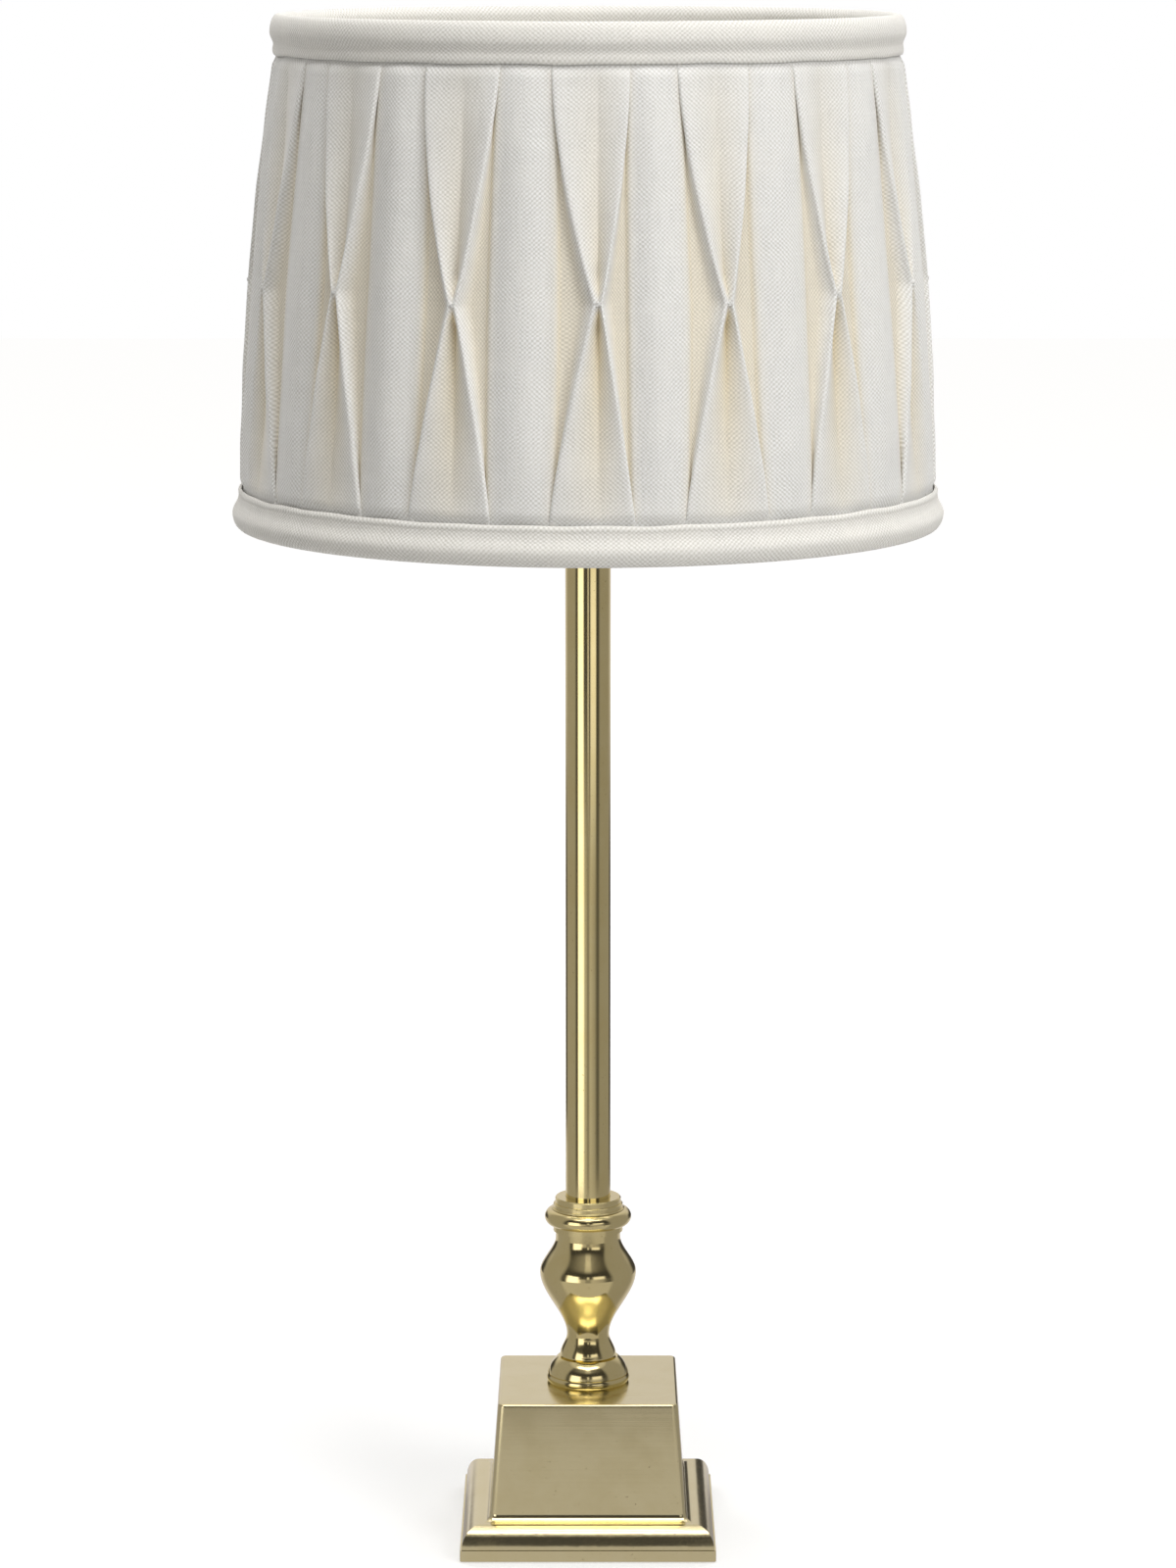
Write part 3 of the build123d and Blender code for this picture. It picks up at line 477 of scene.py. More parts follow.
def plated(name, colour, roughness):
    """Bright plated metal with faint draw lines."""
    material, graph, shader = new_material(name, Metallic=1.0)
    place = place_of(graph)
    lines = graph.noise(graph.scaled(place, DRAWN_LINES))
    cloud = graph.noise(place, PLATING_SCALE, detail=3.0)
    dark = tuple(PLATING_SHADE * c for c in colour)
    gloss = [roughness + change for change in DRAWN_GLOSS]
    graph.put(shader["Base Color"], graph.mix(graph.spread(cloud, *PLATING_SPREAD), colour, dark))
    graph.put(shader["Roughness"], graph.spread(lines, *DRAWN_SPREAD, *gloss))
    graph.put(shader["Normal"], graph.bump(lines, DRAWN_RELIEF, DRAWN_STRENGTH))
    return material


def moulded(name, light, dark, grain, rough, **values):
    """A moulded, cast, glazed or painted surface: two near tones, a grain and an uneven gloss."""
    material, graph, shader = new_material(name, **values)
    place = place_of(graph)
    cloud = graph.noise(place, MOULDING_SCALE, detail=4.0, roughness=0.6)
    pits = graph.noise(place, grain, detail=3.0, roughness=0.6)
    graph.put(shader["Base Color"], graph.mix(graph.spread(cloud, *MOULDING_SPREAD), light, dark))
    graph.put(shader["Roughness"], graph.spread(pits, *GRAIN_SPREAD, *rough))
    graph.put(shader["Normal"], graph.bump(pits, GRAIN_RELIEF, GRAIN_STRENGTH))
    return material


def felted(name):
    """Pressed wool felt: tangled fibres and a soft sheen."""
    material, graph, shader = new_material(name, Roughness=1.0, Sheen_Weight=0.35, Specular_IOR_Level=0.1)
    place = place_of(graph)
    fibre = graph.noise(place, FIBRE_SCALE, detail=6.0, roughness=0.75)
    clump = graph.spread(graph.noise(place, CLUMP_SCALE, detail=3.0), *CLUMP_SPREAD)
    tone = graph.mix(graph.spread(fibre, *FIBRE_SPREAD), *FIBRE_TONES)
    graph.put(shader["Base Color"], graph.mix(clump, tone, CLUMP_TONE))
    graph.put(shader["Normal"], graph.bump(fibre, FIBRE_RELIEF, FIBRE_STRENGTH))
    return material


def finishes():
    """One material for each of the record's slots."""
    return {
        "felt": felted("felt"),
        "satin_brass": brass(
            "satin_brass", bright=(0.82, 0.74, 0.43), dull=(0.8, 0.715, 0.4),
            roughness=0.16, brushed=0.16, uneven=0.02,
        ),
        "polished_brass": brass(
            "polished_brass", bright=(0.82, 0.715, 0.355), dull=(0.79, 0.675, 0.315),
            roughness=0.1, brushed=0.05, uneven=0.02,
        ),
        "holder_brass": brass(
            "holder_brass", bright=(0.82, 0.72, 0.385), dull=(0.76, 0.65, 0.325),
            roughness=0.16, brushed=0.1, uneven=0.03,
        ),
        "steel": plated("steel", colour=(0.6, 0.6, 0.6), roughness=0.32),
        "nickel": plated("nickel", colour=(0.75, 0.74, 0.7), roughness=0.18),
        "iron": moulded(
            "iron", light=(0.12, 0.12, 0.12), dark=(0.07, 0.065, 0.06), grain=700.0, rough=(0.6, 0.85)
        ),
        "black_plastic": moulded(
            "black_plastic", light=(0.03, 0.03, 0.03), dark=(0.022, 0.022, 0.022), grain=1800.0,
            rough=(0.4, 0.55),
        ),
        "ceramic": moulded(
            "ceramic", light=(0.85, 0.83, 0.78), dark=(0.8, 0.78, 0.72), grain=500.0, rough=(0.1, 0.22),
            Coat_Weight=0.5,
        ),
        "opal_glass": moulded(
            "opal_glass", light=(0.93, 0.92, 0.88), dark=(0.9, 0.89, 0.85), grain=400.0, rough=(0.08, 0.14),
            Coat_Weight=0.4,
        ),
        "black_glass": moulded(
            "black_glass", light=(0.02, 0.02, 0.025), dark=(0.03, 0.03, 0.03), grain=900.0,
            rough=(0.12, 0.25),
        ),
        "white_wire": moulded(
            "white_wire", light=(0.85, 0.85, 0.83), dark=(0.8, 0.8, 0.77), grain=1400.0, rough=(0.35, 0.5)
        ),
        "liner": moulded(
            "liner", light=(0.88, 0.87, 0.83), dark=(0.85, 0.835, 0.785), grain=260.0, rough=(0.4, 0.55)
        ),
        "linen": linen("linen"),
    }


# Meshes

def mesh_object(name, points, faces, material, uvs=None, shade_tint=None):
    """A smooth mesh in the object's frame, with its cloth coordinates and the share of the painted shade
    tint at each point.
    """
    mesh = bpy.data.meshes.new(name)
    mesh.from_pydata([tuple(p) for p in points], [], faces)
    mesh.polygons.foreach_set("use_smooth", [True] * len(mesh.polygons))
    if uvs is not None:
        layer = mesh.uv_layers.new(name="cloth")
        layer.data.foreach_set("uv", np.asarray(uvs, dtype=np.float32).ravel())
    if shade_tint is not None:
        attribute = mesh.attributes.new("painted_shade_tint", "FLOAT", "POINT")
        attribute.data.foreach_set("value", np.asarray(shade_tint, dtype=np.float32))
    mesh.materials.append(material)
    made = bpy.data.objects.new(name, mesh)
    bpy.context.scene.collection.objects.link(made)
    return made


def ring_faces(row_count, column_count, start=0):
    """Faces between rows of points that each close on themselves."""
    faces = []
    for r in range(row_count - 1):
        low = start + r * column_count
        high = low + column_count
        for c in range(column_count):
            n = (c + 1) % column_count
            faces.append((low + c, low + n, high + n, high + c))
    return faces


def end_faces(row_count, column_count, start=0):
    """The two faces that close the first and the last of such rows."""
    last = start + (row_count - 1) * column_count
    first_face = tuple(start + c for c in reversed(range(column_count)))
    last_face = tuple(last + c for c in range(column_count))
    return [first_face, last_face]


def ring_sheet(name, rows, material, across, up, shade_tint):
    """A sheet that runs once round the axis: rows of points from below, with cloth coordinates."""
    row_count, column_count = rows.shape[:2]
    uvs = []
    for r in range(row_count - 1):
        for c in range(column_count):
            for row, column in ((r, c), (r, c + 1), (r + 1, c + 1), (r + 1, c)):
                uvs.append((across[row, column], up[row, column]))
    faces = ring_faces(row_count, column_count)
    return mesh_object(name, rows.reshape(-1, 3), faces, material, uvs, shade_tint)


def thicken(made, thickness):
    """Gives a sheet its thickness, on the side of the axis."""
    solid = made.modifiers.new("cloth_thickness", "SOLIDIFY")
    solid.thickness = thickness
    solid.offset = -1.0
    return made


def eased(x):
    """0 up to 0, 1 from 1, and a soft rise between."""
    x = min(max(x, 0.0), 1.0)
    return x * x * (3 - 2 * x)


def curve(s, knots):
    """A smooth line through (place, value) knots."""
    for (a, low), (b, high) in zip(knots, knots[1:]):
        if s <= b:
            return low + (high - low) * eased((s - a) / (b - a))
    return knots[-1][1]


def draw_waves(draw, number, counts):
    """Waves round an outline, each as (crests, phase)."""
    return [(draw.randint(*counts), draw.uniform(0, PHASE_LIMIT)) for _ in range(number)]


def waviness(waves, angle):
    """Mean of the waves at an angle round the axis."""
    return sum(math.sin(n * angle + p) for n, p in waves) / len(waves)


# The liner that the linen lies on

def reach_at(node, level):
    """Greatest distance from the axis of a node's points at a level."""
    points = np.array([v.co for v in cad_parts[node].data.vertices])
    near = points[np.abs(points[:, 2] - level) < SAME_LEVEL]
    return float(np.hypot(near[:, 0], near[:, 1]).max())


liner_low, liner_high = (corner.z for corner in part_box("shade_liner"))
liner_low_reach = reach_at("shade_liner", liner_low)
liner_high_reach = reach_at("shade_liner", liner_high)


def liner_reach(level):
    """Outer radius of the liner's cone at a level."""
    share = (level - liner_low) / (liner_high - liner_low)
    return liner_low_reach + share * (liner_high_reach - liner_low_reach)


# Pleats

class Pleat:
    """The small ways in which one hand-made pleat differs from the next."""

    def __init__(self, draw, place):
        self.turn = FRONT_TURNS.get(place, draw.uniform(-TURN_SPREAD, TURN_SPREAD))
        self.pinch_shift = draw.uniform(-PINCH_SHIFT_SPREAD, PINCH_SHIFT_SPREAD)
        self.pinch_rise = draw.uniform(-PINCH_RISE_SPREAD, PINCH_RISE_SPREAD)
        self.mouth_shift = [draw.uniform(-MOUTH_SHIFT_SPREAD, MOUTH_SHIFT_SPREAD) for _ in BOWS]
        self.bow = [draw.uniform(*limits) for limits in BOWS]
        self.valley = draw.uniform(*VALLEY_SPREAD)
        self.panel = draw.uniform(*PANEL_SPREAD)
        self.phase = draw.uniform(0.0, PHASE_LIMIT)


def half_section(s, pleat, side, upper):
    """Half a pleat, from its valley to the panel's crest: angle from the middle, height, painted fold
    shade.
    """
    opened = 1 - (1 - s) ** pleat.bow[2 * upper + side]
    shift = pleat.mouth_shift[2 * upper + side]
    ridge_angle = PINCH_HALF_ANGLE + (MOUTH_HALF_ANGLE + shift - PINCH_HALF_ANGLE) * opened
    ridge = curve(s, RIDGE_HEIGHTS)
    valley = curve(s, VALLEY_HEIGHTS) * pleat.valley
    edge_angle = PANEL_EDGE_ANGLE + (PANEL_MOUTH_ANGLE - PANEL_EDGE_ANGLE) * s**2 + shift * s
    edge = curve(s, PANEL_EDGE_HEIGHTS)
    crest = curve(s, PANEL_CREST_HEIGHTS) + pleat.panel
    flank = FLANK_RUN * max(0.0, 1 - s / FLANK_END) ** FLANK_TAPER
    flank -= UNDERCUT * eased((s - UNDERCUT_START) / UNDERCUT_LENGTH)
    roll_angle = ridge_angle + RIDGE_ROLL[-1][0]
    foot_angle = min(roll_angle + flank, edge_angle - RECESS_LEAST)
    section = []
    for t in WALL_STEPS:
        climb = (1 + WALL_BULGE) * t - WALL_BULGE * t**WALL_BULGE_POWER
        # Painted shade, darkest in the valley and fading up the walls and towards the mouth
        fold = (1 - t) * eased(s / PAINTED_SHADE_START) * (1 - PAINTED_SHADE_FADE * s)
        section.append((ridge_angle * t, valley + (ridge - valley) * climb, VALLEY_PAINTED_SHADE[upper] * fold))
    for turn, drop in RIDGE_ROLL:
        section.append((ridge_angle + turn, ridge - drop, 0.0))
    flank_top = ridge - RIDGE_ROLL[-1][1]
    # The flank and the recess beside the ridge carry painted shade, and the panel's shoulder fades it out
    for t in FLANK_STEPS:
        angle = roll_angle + (foot_angle - roll_angle) * t
        section.append((angle, RECESS + (flank_top - RECESS) * (1 - t) ** FLANK_SAG, RECESS_PAINTED_SHADE * t))
    for t in RECESS_STEPS:
        angle = foot_angle + (edge_angle - RECESS_MARGIN - foot_angle) * t
        section.append((angle, RECESS, RECESS_PAINTED_SHADE))
    for turn, share, shade_tint in PANEL_SHOULDER:
        section.append((edge_angle + turn, RECESS + (edge - RECESS) * share, shade_tint))
    shoulder_angle = edge_angle + PANEL_SHOULDER[-1][0]
    for t in PANEL_STEPS:
        angle = shoulder_angle + (PITCH / 2 - shoulder_angle) * t
        section.append((angle, edge + (crest - edge) * math.sin(math.pi / 2 * t), 0.0))
    return section


def pleat_levels(low_mouth, pinch, high_mouth):
    """Heights of the cloth's rows, closer together at the pinch and at the mouths."""
    shares = [i / ROWS_PER_HALF for i in range(ROWS_PER_HALF + 1)]
    spaced = [0.5 * t**PINCH_CROWDING + 0.5 * (1 - (1 - t) ** MOUTH_CROWDING) for t in shares]
    tuck = PLEAT_TUCK * MM
    levels = [low_mouth - tuck, low_mouth - tuck / 2]
    levels += [pinch + (low_mouth - pinch) * s for s in reversed(spaced[1:])]
    levels += [pinch + (high_mouth - pinch) * s for s in spaced]
    return levels + [high_mouth + tuck / 2, high_mouth + tuck]


def pleat_row(level, pleats, low_mouth, pinch, high_mouth):
    """One row of the cloth: its points, and the painted fold shade at each."""
    base = liner_reach(level)
    points = []
    shade_tints = []
    for i, pleat in enumerate(pleats):
        local_pinch = pinch + pleat.pinch_rise * MM
        upper = level >= local_pinch
        mouth = high_mouth if upper else low_mouth
        s = min(1.0, (level - local_pinch) / (mouth - local_pinch))
        free = eased(abs(mouth - level) / (GAPE * MM)) if s < 1 else 0.0
        middle = FRONT_ANGLE + i * PITCH
        lean = pleat.turn + pleat.pinch_shift * (1 - s) ** LEAN_FADE
        for side, crest_owner in enumerate((pleats[i - 1], pleat)):
            shape = half_section(s, pleat, side, upper)
            shape[-1] = (PITCH / 2, shape[-1][1] - pleat.panel + crest_owner.panel, 0.0)
            ripple = RIPPLE * math.sin(level / MM / RIPPLE_LENGTH + crest_owner.phase)
            columns = shape[1:-1] if side else reversed(shape)
            for angle, height, fold in columns:
                turn = middle + (angle if side else -angle) + lean * (1 - angle / (PITCH / 2))
                rise = CLOTH_BED + (height + ripple * angle / PITCH - CLOTH_BED) * free
                a = math.radians(turn)
                r = base + rise * MM
                points.append((r * math.cos(a), r * math.sin(a), level))
                # Painted fold shade, fading to nothing where the cloth is pressed flat at the mouths
                shade_tints.append(free * fold)
    return points, shade_tints


def thread_run(rows):
    """Distance across the cloth. Threads stand upright on the panels and in the pleats, and the folds
    between take up the rest."""
    steps = np.linalg.norm(np.roll(rows, -1, axis=1) - rows, axis=2)
    by_pleat = steps.reshape(len(rows), PLEAT_COUNT, -1)
    width = by_pleat.sum(axis=2).max()
    half = by_pleat.shape[2] // 2
    panel_last = len(PANEL_STEPS) + len(PANEL_SHOULDER) - 1
    pleat_first = half - len(WALL_STEPS) - len(RIDGE_ROLL) + 1
    columns = []
    for i in range(PLEAT_COUNT):
        for side in (0, 1):
            part = by_pleat[:, i, :half] if side == 0 else by_pleat[:, i, half:][:, ::-1]
            along = np.concatenate([np.zeros((len(rows), 1)), np.cumsum(part, axis=1)], axis=1)
            run = along.copy()
            run[:, pleat_first:] += width / 2 - along[:, -1:]
            first = run[:, panel_last:panel_last + 1]
            last = run[:, pleat_first:pleat_first + 1]
            fold = along[:, panel_last:pleat_first] - along[:, panel_last:panel_last + 1]
            fold = fold / (along[:, pleat_first:pleat_first + 1] - along[:, panel_last:panel_last + 1])
            run[:, panel_last:pleat_first] = first + (last - first) * fold
            columns.append(i * width + run[:, :-1] if side == 0 else (i + 1) * width - run[:, :0:-1])
    columns.append(np.full((len(rows), 1), PLEAT_COUNT * width))
    return np.concatenate(columns, axis=1)


def build_pleats(material):
    """The linen between the bands: box pleats held flat at both mouths and drawn together at the pinch."""
    draw = random.Random(PLEAT_SEED)
    places = [i if i < PLEAT_COUNT / 2 else i - PLEAT_COUNT for i in range(PLEAT_COUNT)]
    pleats = [Pleat(draw, place) for place in places]
    low_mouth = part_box("bottom_band")[1].z + HEM_REACH * MM
    high_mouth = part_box("top_band")[0].z - HEM_REACH * MM
    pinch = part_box("bottom_band")[0].z + PINCH_LEVEL * MM
    rows = []
    shade_tints = []
    for level in pleat_levels(low_mouth, pinch, high_mouth):
        row, row_shade_tints = pleat_row(level, pleats, low_mouth, pinch, high_mouth)
        rows.append(row)
        shade_tints += row_shade_tints
    rows = np.array(rows)
    across = thread_run(rows)
    up = np.repeat(rows[:, :1, 2], across.shape[1], axis=1)
    made = ring_sheet("linen_pleats", rows, material, across, up, shade_tints)
    return thicken(made, CLOTH_THICKNESS * MM), pleats, pinch


# Stitches

def thread_points(path):
    """Points round a path, for a thread."""
    points = []
    for k, centre in enumerate(path):
        ahead = path[min(k + 1, len(path) - 1)] - path[max(k - 1, 0)]
        ahead = ahead / np.linalg.norm(ahead)
        first = np.cross(ahead, UPWARD)
        first = first / np.linalg.norm(first)
        second = np.cross(ahead, first)
        for j in range(THREAD_SIDES):
            b = FULL_TURN * j / THREAD_SIDES
            points.append(centre + THREAD_RADIUS * MM * (first * math.cos(b) + second * math.sin(b)))
    return points


def build_stitches(material, pleats, pinch):
    """Three turns of thread over the two ridges at each pinch."""
    points = []
    faces = []
    for i, pleat in enumerate(pleats):
        middle = math.radians(FRONT_ANGLE + i * PITCH + pleat.turn + pleat.pinch_shift)
        level = pinch + pleat.pinch_rise * MM
        reach = liner_reach(level)
        outward = np.array((math.cos(middle), math.sin(middle), 0.0))
        sideways = np.array((-math.sin(middle), math.cos(middle), 0.0))
        for rise, slope in STITCH_TURNS:
            path = []
            for k in range(STITCH_POINTS):
                a = math.radians(STITCH_ARC * (k / (STITCH_POINTS - 1) - 0.5))
                out = reach + (STITCH_SEAT + STITCH_HEIGHT * math.cos(a)) * MM
                aside = STITCH_HALF_WIDTH * math.sin(a) * MM
                up = level + (rise + slope * math.sin(a)) * MM
                path.append(outward * out + sideways * aside + UPWARD * up)
            faces += ring_faces(STITCH_POINTS, THREAD_SIDES, len(points))
            faces += end_faces(STITCH_POINTS, THREAD_SIDES, len(points))
            points += thread_points(path)
    uvs = [(points[v] @ (1, 1, 0), points[v][2]) for face in faces for v in face]
    return mesh_object("pinch_stitches", points, faces, material, uvs)


# Bands

def band_profile(hem, hem_rise, tail, tail_rise, roll, belly, full, bead):
    """A band's section, as (reach, rise): hem, face, soft roll round the wire, turn inside the liner."""
    profile = [(hem - HEM_TUCK, hem_rise)]
    face = [(0, roll)] + [(place, hem + swell) for place, swell in FACE_CURVE]
    for t in FACE_STEPS:
        slanted = roll + (hem - roll) * t
        rise = belly + (hem_rise - belly) * t
        fold = bead * curve(hem_rise - rise, HEM_BEAD_CURVE)
        profile.append((full * curve(t, face) + (1 - full) * slanted + fold, rise))
    for degrees in OUTER_ROLL:
        a = math.radians(degrees)
        profile.append((roll * math.cos(a), belly - (belly + roll) * math.sin(a)))
    for degrees in INNER_ROLL:
        a = math.radians(degrees)
        profile.append((roll * math.cos(a), -roll * math.sin(a)))
    end_reach, end_rise = profile[-1]
    for t in TAIL_STEPS:
        profile.append((end_reach + (tail - end_reach) * t, end_rise + (tail_rise - end_rise) * t))
    return profile


def build_band(name, material, node, ring_node, up, seed, roll, belly, full, bead):
    """A strip of linen folded over a rim's wire, slightly puckered."""
    waves = draw_waves(random.Random(seed), BAND_WAVES, BAND_WAVE_COUNTS)
    ring_low, ring_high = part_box(ring_node)
    ring_level = (ring_low.z + ring_high.z) / 2
    ring_reach = ring_high.x - (ring_high.z - ring_low.z) / 2
    low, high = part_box(node)
    hem_level = (high.z if up > 0 else low.z) + up * HEM_REACH * MM
    hem_rise = abs(hem_level - ring_level) / MM
    hem = (liner_reach(hem_level) - ring_reach) / MM + CLOTH_BED + BAND_LIFT + BAND_CLOTH
    tail_rise = BAND_TURN_IN - roll
    tail_level = ring_level + up * tail_rise * MM
    tail = (liner_reach(tail_level) - ring_reach) / MM - LINER_THICKNESS - TAIL_CLEARANCE
    rows = []
    for reach, rise in band_profile(hem, hem_rise, tail, tail_rise, roll, belly, full, bead):
        near_hem = eased((rise - hem_rise + HEM_WANDER_WIDTH) / HEM_WANDER_WIDTH)
        row = []
        for c in range(BAND_SEGMENTS):
            turn = FULL_TURN * c / BAND_SEGMENTS
            wave = waviness(waves, turn)
            r = ring_reach + (reach + BAND_PUCKER * wave) * MM
            z = ring_level + up * (rise + HEM_WANDER * wave * near_hem) * MM
            row.append((r * math.cos(turn), r * math.sin(turn), z))
        rows.append(row)
    rows = np.array(rows if up > 0 else rows[::-1])
    turns = np.linspace(0, FULL_TURN * ring_reach, BAND_SEGMENTS + 1)
    across = np.repeat(turns[None, :], len(rows), axis=0)
    gaps = np.linalg.norm(rows[1:, 0] - rows[:-1, 0], axis=1)
    up_run = np.concatenate([[0], np.cumsum(gaps)])
    along = np.repeat(up_run[:, None], BAND_SEGMENTS + 1, axis=1)
    # An even share of the painted shade colour all round the band, a warmer tone of its cloth
    warmth = np.full(len(rows) * BAND_SEGMENTS, BAND_WARMTH)
    made = ring_sheet(name, rows, material, across, along, warmth)
    return thicken(made, BAND_CLOTH * MM)


# Felt

def felt_outline(half):
    """A square with round corners, in short steps."""
    inner = half - FELT_CORNER
    corners = []
    for k, (sx, sy) in enumerate(((1, 1), (-1, 1), (-1, -1), (1, -1))):
        for j in range(FELT_CORNER_STEPS + 1):
            a = math.radians(90 * k + 90 / FELT_CORNER_STEPS * j)
            corners.append((sx * inner + FELT_CORNER * math.cos(a), sy * inner + FELT_CORNER * math.sin(a)))
    outline = []
    for (x0, y0), (x1, y1) in zip(corners, corners[1:] + corners[:1]):
        steps = max(1, round(math.hypot(x1 - x0, y1 - y0) / FELT_STEP))
        outline += [(x0 + (x1 - x0) * i / steps, y0 + (y1 - y0) * i / steps) for i in range(steps)]
    return outline


def build_felt(material):
    """A pressed felt square with soft edges, laid in the foot's recess."""
    low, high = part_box("felt_pad")
    half = high.x / MM
    thick = (high.z - low.z) / MM
    waves = draw_waves(random.Random(FELT_SEED), FELT_WAVES, FELT_WAVE_COUNTS)
    outline = felt_outline(half)
    rings = FELT_EDGE + [(inset, thick - shade_tint) for inset, shade_tint in reversed(FELT_EDGE)]
    points = []
    for inset, z in rings:
        for x, y in outline:
            fray = FELT_FRAY * waviness(waves, math.atan2(y, x))
            shrink = 1 - (inset + FELT_CLEARANCE + fray) / half
            points.append((x * shrink * MM, y * shrink * MM, low.z + z * MM))
    faces = ring_faces(len(rings), len(outline)) + end_faces(len(rings), len(outline))
    return mesh_object("felt_sheet", points, faces, material)


# Studio

def seen_directly(graph):
    """1 for rays that show the backdrop: from the camera, and by way of metal and glass."""
    path = graph.node("ShaderNodeLightPath").outputs
    straight = graph.math("MAXIMUM", path["Is Camera Ray"], path["Is Glossy Ray"])
    return graph.math("MAXIMUM", straight, path["Is Transmission Ray"])


def build_camera():
    """A view from the front, from a little above the lamp and tilted down."""
    camera = bpy.data.cameras.new("camera")
    camera.lens = CAMERA_LENS
    made = bpy.data.objects.new("camera", camera)
    made.location = (0.0, -CAMERA_DISTANCE, CAMERA_HEIGHT)
    made.rotation_euler = (math.pi / 2 - CAMERA_TILT, 0.0, 0.0)
    bpy.context.scene.collection.objects.link(made)
    bpy.context.scene.camera = made


def build_world():
    """A slightly warm fill for the cloth, and a white backdrop."""
    world = bpy.data.worlds.new("studio")
    bpy.context.scene.world = world
    graph = blank(world)
    fill = graph.node("ShaderNodeBackground")
    fill.inputs["Color"].default_value = FILL_COLOUR
    fill.inputs["Strength"].default_value = FILL_LEVEL
    backdrop = graph.node("ShaderNodeBackground")
    backdrop.inputs["Color"].default_value = BACKDROP_COLOUR
    backdrop.inputs["Strength"].default_value = BACKDROP_LEVEL
    both = graph.node("ShaderNodeMixShader")
    output = graph.node("ShaderNodeOutputWorld")
    graph.put(both.inputs[0], seen_directly(graph))
    graph.put(both.inputs[1], fill.outputs[0])
    graph.put(both.inputs[2], backdrop.outputs[0])
    graph.put(output.inputs["Surface"], both.outputs[0])


def build_floor():
    """A pale floor that reads as white and keeps the object's shadow."""
    material = bpy.data.materials.new("floor")
    graph = blank(material)
    paint = graph.node("ShaderNodeBsdfDiffuse")
    paint.inputs["Color"].default_value = FLOOR_COLOUR
    glow = graph.node("ShaderNodeEmission")
    x, y, _ = graph.parts(place_of(graph))
    reach = graph.math("SQRT", graph.math("ADD", graph.math("POWER", x, 2.0), graph.math("POWER", y, 2.0)))
    lift = graph.spread(reach, FLOOR_NEAR, FLOOR_FAR, FLOOR_LIFT_NEAR, FLOOR_LIFT_FAR)
    graph.put(glow.inputs["Strength"], graph.math("MULTIPLY", seen_directly(graph), lift))
    both = graph.node("ShaderNodeAddShader")
    output = graph.node("ShaderNodeOutputMaterial")
    graph.put(both.inputs[0], paint.outputs[0])
    graph.put(both.inputs[1], glow.outputs[0])
    graph.put(output.inputs["Surface"], both.outputs[0])
    corners = [(sx * FLOOR_HALF, sy * FLOOR_HALF, 0) for sx, sy in ((-1, -1), (1, -1), (1, 1), (-1, 1))]
    mesh_object("floor", corners, [(0, 1, 2, 3)], material)


def card_material(name, stops, zones):
    """A glow in grey levels by bearing from the front. Each zone's levels take over between two heights."""
    material = bpy.data.materials.new(name)
    graph = blank(material)
    x, y, z = graph.parts(place_of(graph))
    bearing = graph.math("ARCTAN2", x, graph.math("MULTIPLY", y, -1.0))
    share = graph.math("ADD", graph.math("DIVIDE", bearing, FULL_TURN), 0.5)

    def by_bearing(levels):
        return graph.ramp(share, [((degrees + 180) / 360, grey) for degrees, grey in levels])

    level = by_bearing(stops)
    for low, high, zone_stops in zones:
        level = graph.mix(graph.spread(z, low, high), level, by_bearing(zone_stops))
    glow = graph.node("ShaderNodeEmission")
    output = graph.node("ShaderNodeOutputMaterial")
    graph.put(glow.inputs["Color"], graph.mix(1.0, level, CARD_TINT, "MULTIPLY"))
    graph.put(output.inputs["Surface"], glow.outputs[0])
    return material


def build_card(name, points, faces, stops, zones=()):
    """A glowing card that shows in reflections and nowhere else."""
    made = mesh_object(name, points, faces, card_material(name, stops, zones))
    made.visible_camera = False
    made.visible_diffuse = False
    made.visible_transmission = False
    made.visible_shadow = False


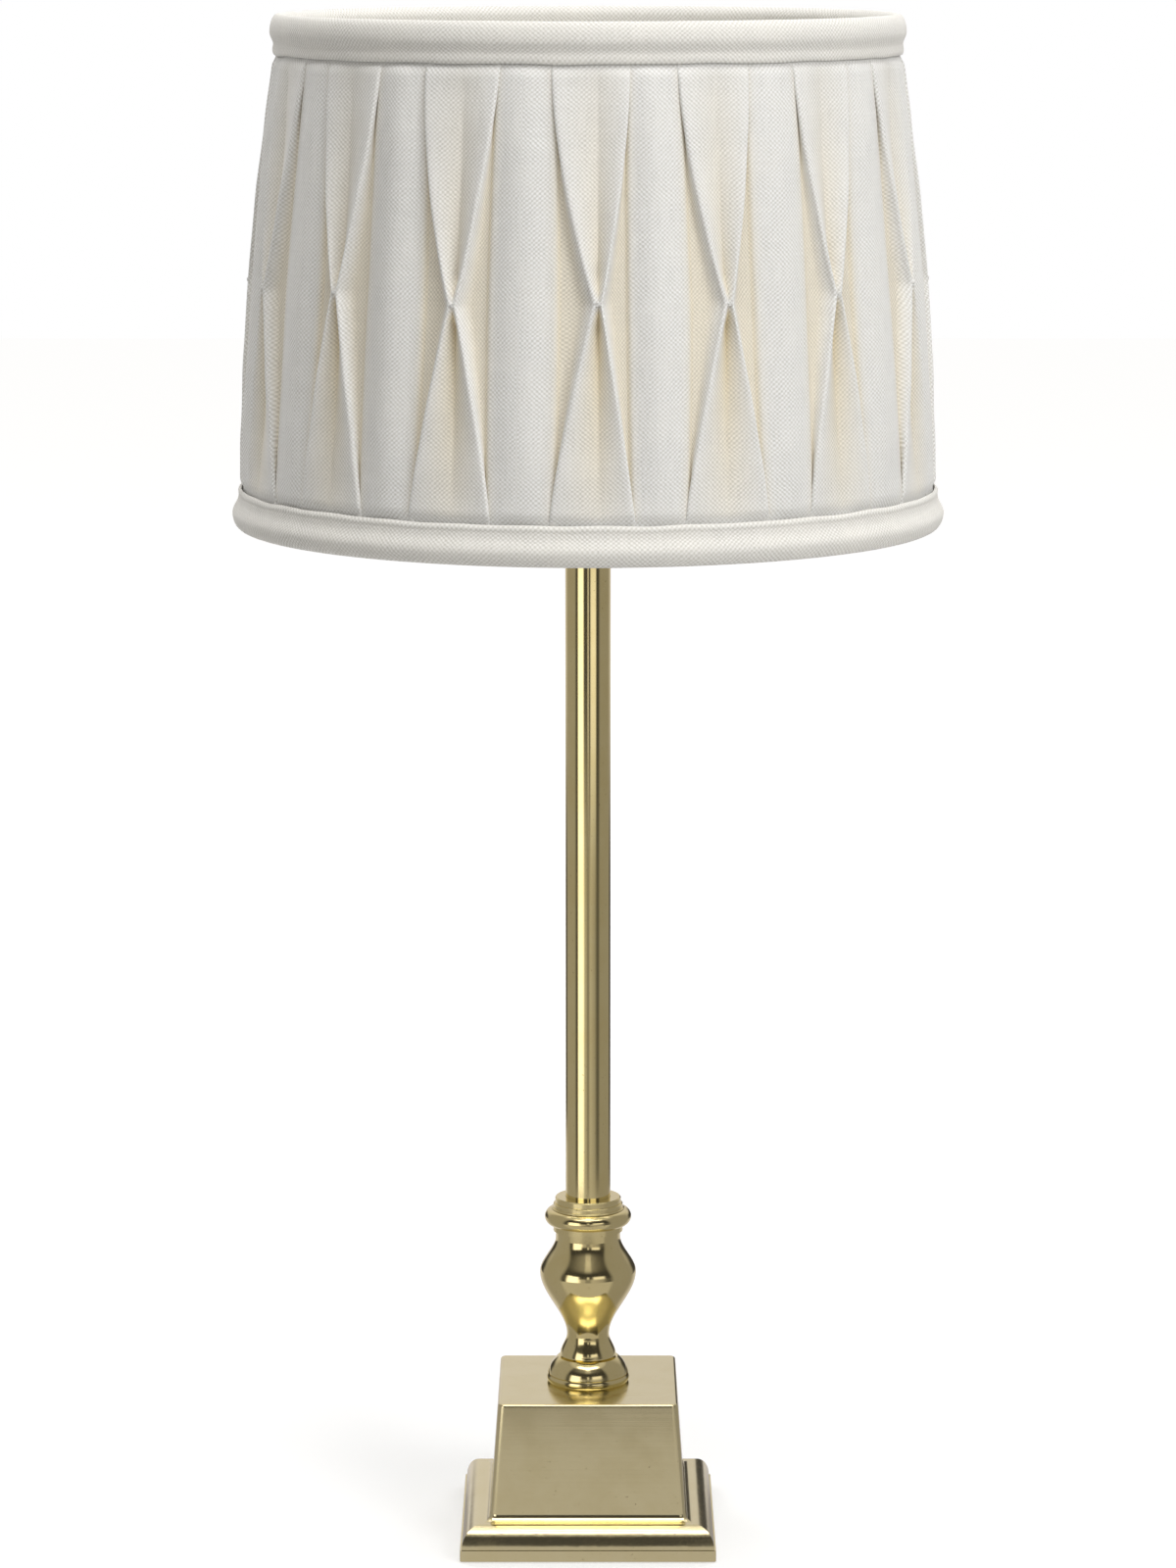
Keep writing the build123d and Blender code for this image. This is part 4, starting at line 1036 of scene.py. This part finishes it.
def build_tent():
    """What the brass reflects: a wall round the lamp with soft boxes and dark gaps, a ground, a bright lid
    and a dark flag that slants before the foot."""
    angles = [FULL_TURN * i / TENT_SEGMENTS for i in range(TENT_SEGMENTS)]
    circle = [(TENT_REACH * math.cos(a), TENT_REACH * math.sin(a)) for a in angles]
    low_rim = [(x, y, 0.0) for x, y in circle]
    high_rim = [(x, y, TENT_HEIGHT) for x, y in circle]
    ground_rim = [(x, y, TENT_GROUND_LEVEL) for x, y in circle]
    disc = [tuple(range(TENT_SEGMENTS))]
    wall_zones = [
        (0.02, 0.05, LEFT_WALL_BARRED + LEFT_BOX + FRONT_LOW + RIGHT_WALL_BARRED),
        (0.16, 0.3, LEFT_WALL + LEFT_BOX + FRONT_STRIPED + RIGHT_WALL),
        (0.34, 0.4, LEFT_WALL + FRONT_DARK + RIGHT_WALL),
        (0.5, 0.75, LEFT_WALL + FRONT_HIGH + RIGHT_WALL),
        (0.9, 0.98, TOP_EDGE),
    ]
    wall_foot = LEFT_WALL + LEFT_BOX + FRONT_LOW + RIGHT_WALL_LOW
    build_card("tent_wall", low_rim + high_rim, ring_faces(2, TENT_SEGMENTS), wall_foot, wall_zones)
    build_card("tent_ground", ground_rim, disc, LEFT_WALL + GROUND_FRONT + RIGHT_WALL)
    build_card("tent_lid", high_rim, disc, LID)
    slant = [(side * FLAG_HALF_WIDTH, *FLAG_LOW_EDGE) for side in (-1, 1)]
    slant += [(side * FLAG_HALF_WIDTH, *FLAG_HIGH_EDGE) for side in (1, -1)]
    build_card("tent_flag", slant, [(0, 1, 2, 3)], FLAG)


def build_light(name, bearing, elevation, distance, power):
    """A square soft light, aimed at the middle of the lamp."""
    lamp = bpy.data.lights.new(name, "AREA")
    lamp.shape = "SQUARE"
    lamp.size = LIGHT_SIZE
    lamp.energy = power
    made = bpy.data.objects.new(name, lamp)
    bpy.context.scene.collection.objects.link(made)
    a = math.radians(bearing)
    e = math.radians(elevation)
    middle = (cad_box[0] + cad_box[1]) / 2
    made.location = (
        distance * math.sin(a) * math.cos(e),
        -distance * math.cos(a) * math.cos(e),
        middle.z + distance * math.sin(e),
    )
    made.rotation_euler = (middle - made.location).to_track_quat("-Z", "Y").to_euler()
    made.visible_glossy = False


bpy.context.scene.view_settings.view_transform = "Standard"
build_camera()
build_world()
build_floor()
build_tent()
for light_name, light_values in LIGHTS.items():
    build_light(light_name, *light_values)

materials = finishes()
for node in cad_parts.values():
    for i, old in enumerate(node.data.materials):
        node.data.materials[i] = materials[old.name]

pleated, pleats, pinch = build_pleats(materials["linen"])
stitches = build_stitches(materials["linen"], pleats, pinch)
top_band = build_band("top_binding", materials["linen"], **TOP_BAND)
bottom_band = build_band("bottom_binding", materials["linen"], **BOTTOM_BAND)
felt = build_felt(materials["felt"])

for piece in (pleated, stitches, top_band, bottom_band):
    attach(piece, "shade")
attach(felt, "lamp")
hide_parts("shade_pleats")
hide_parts("top_band")
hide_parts("bottom_band")
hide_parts("felt_pad")
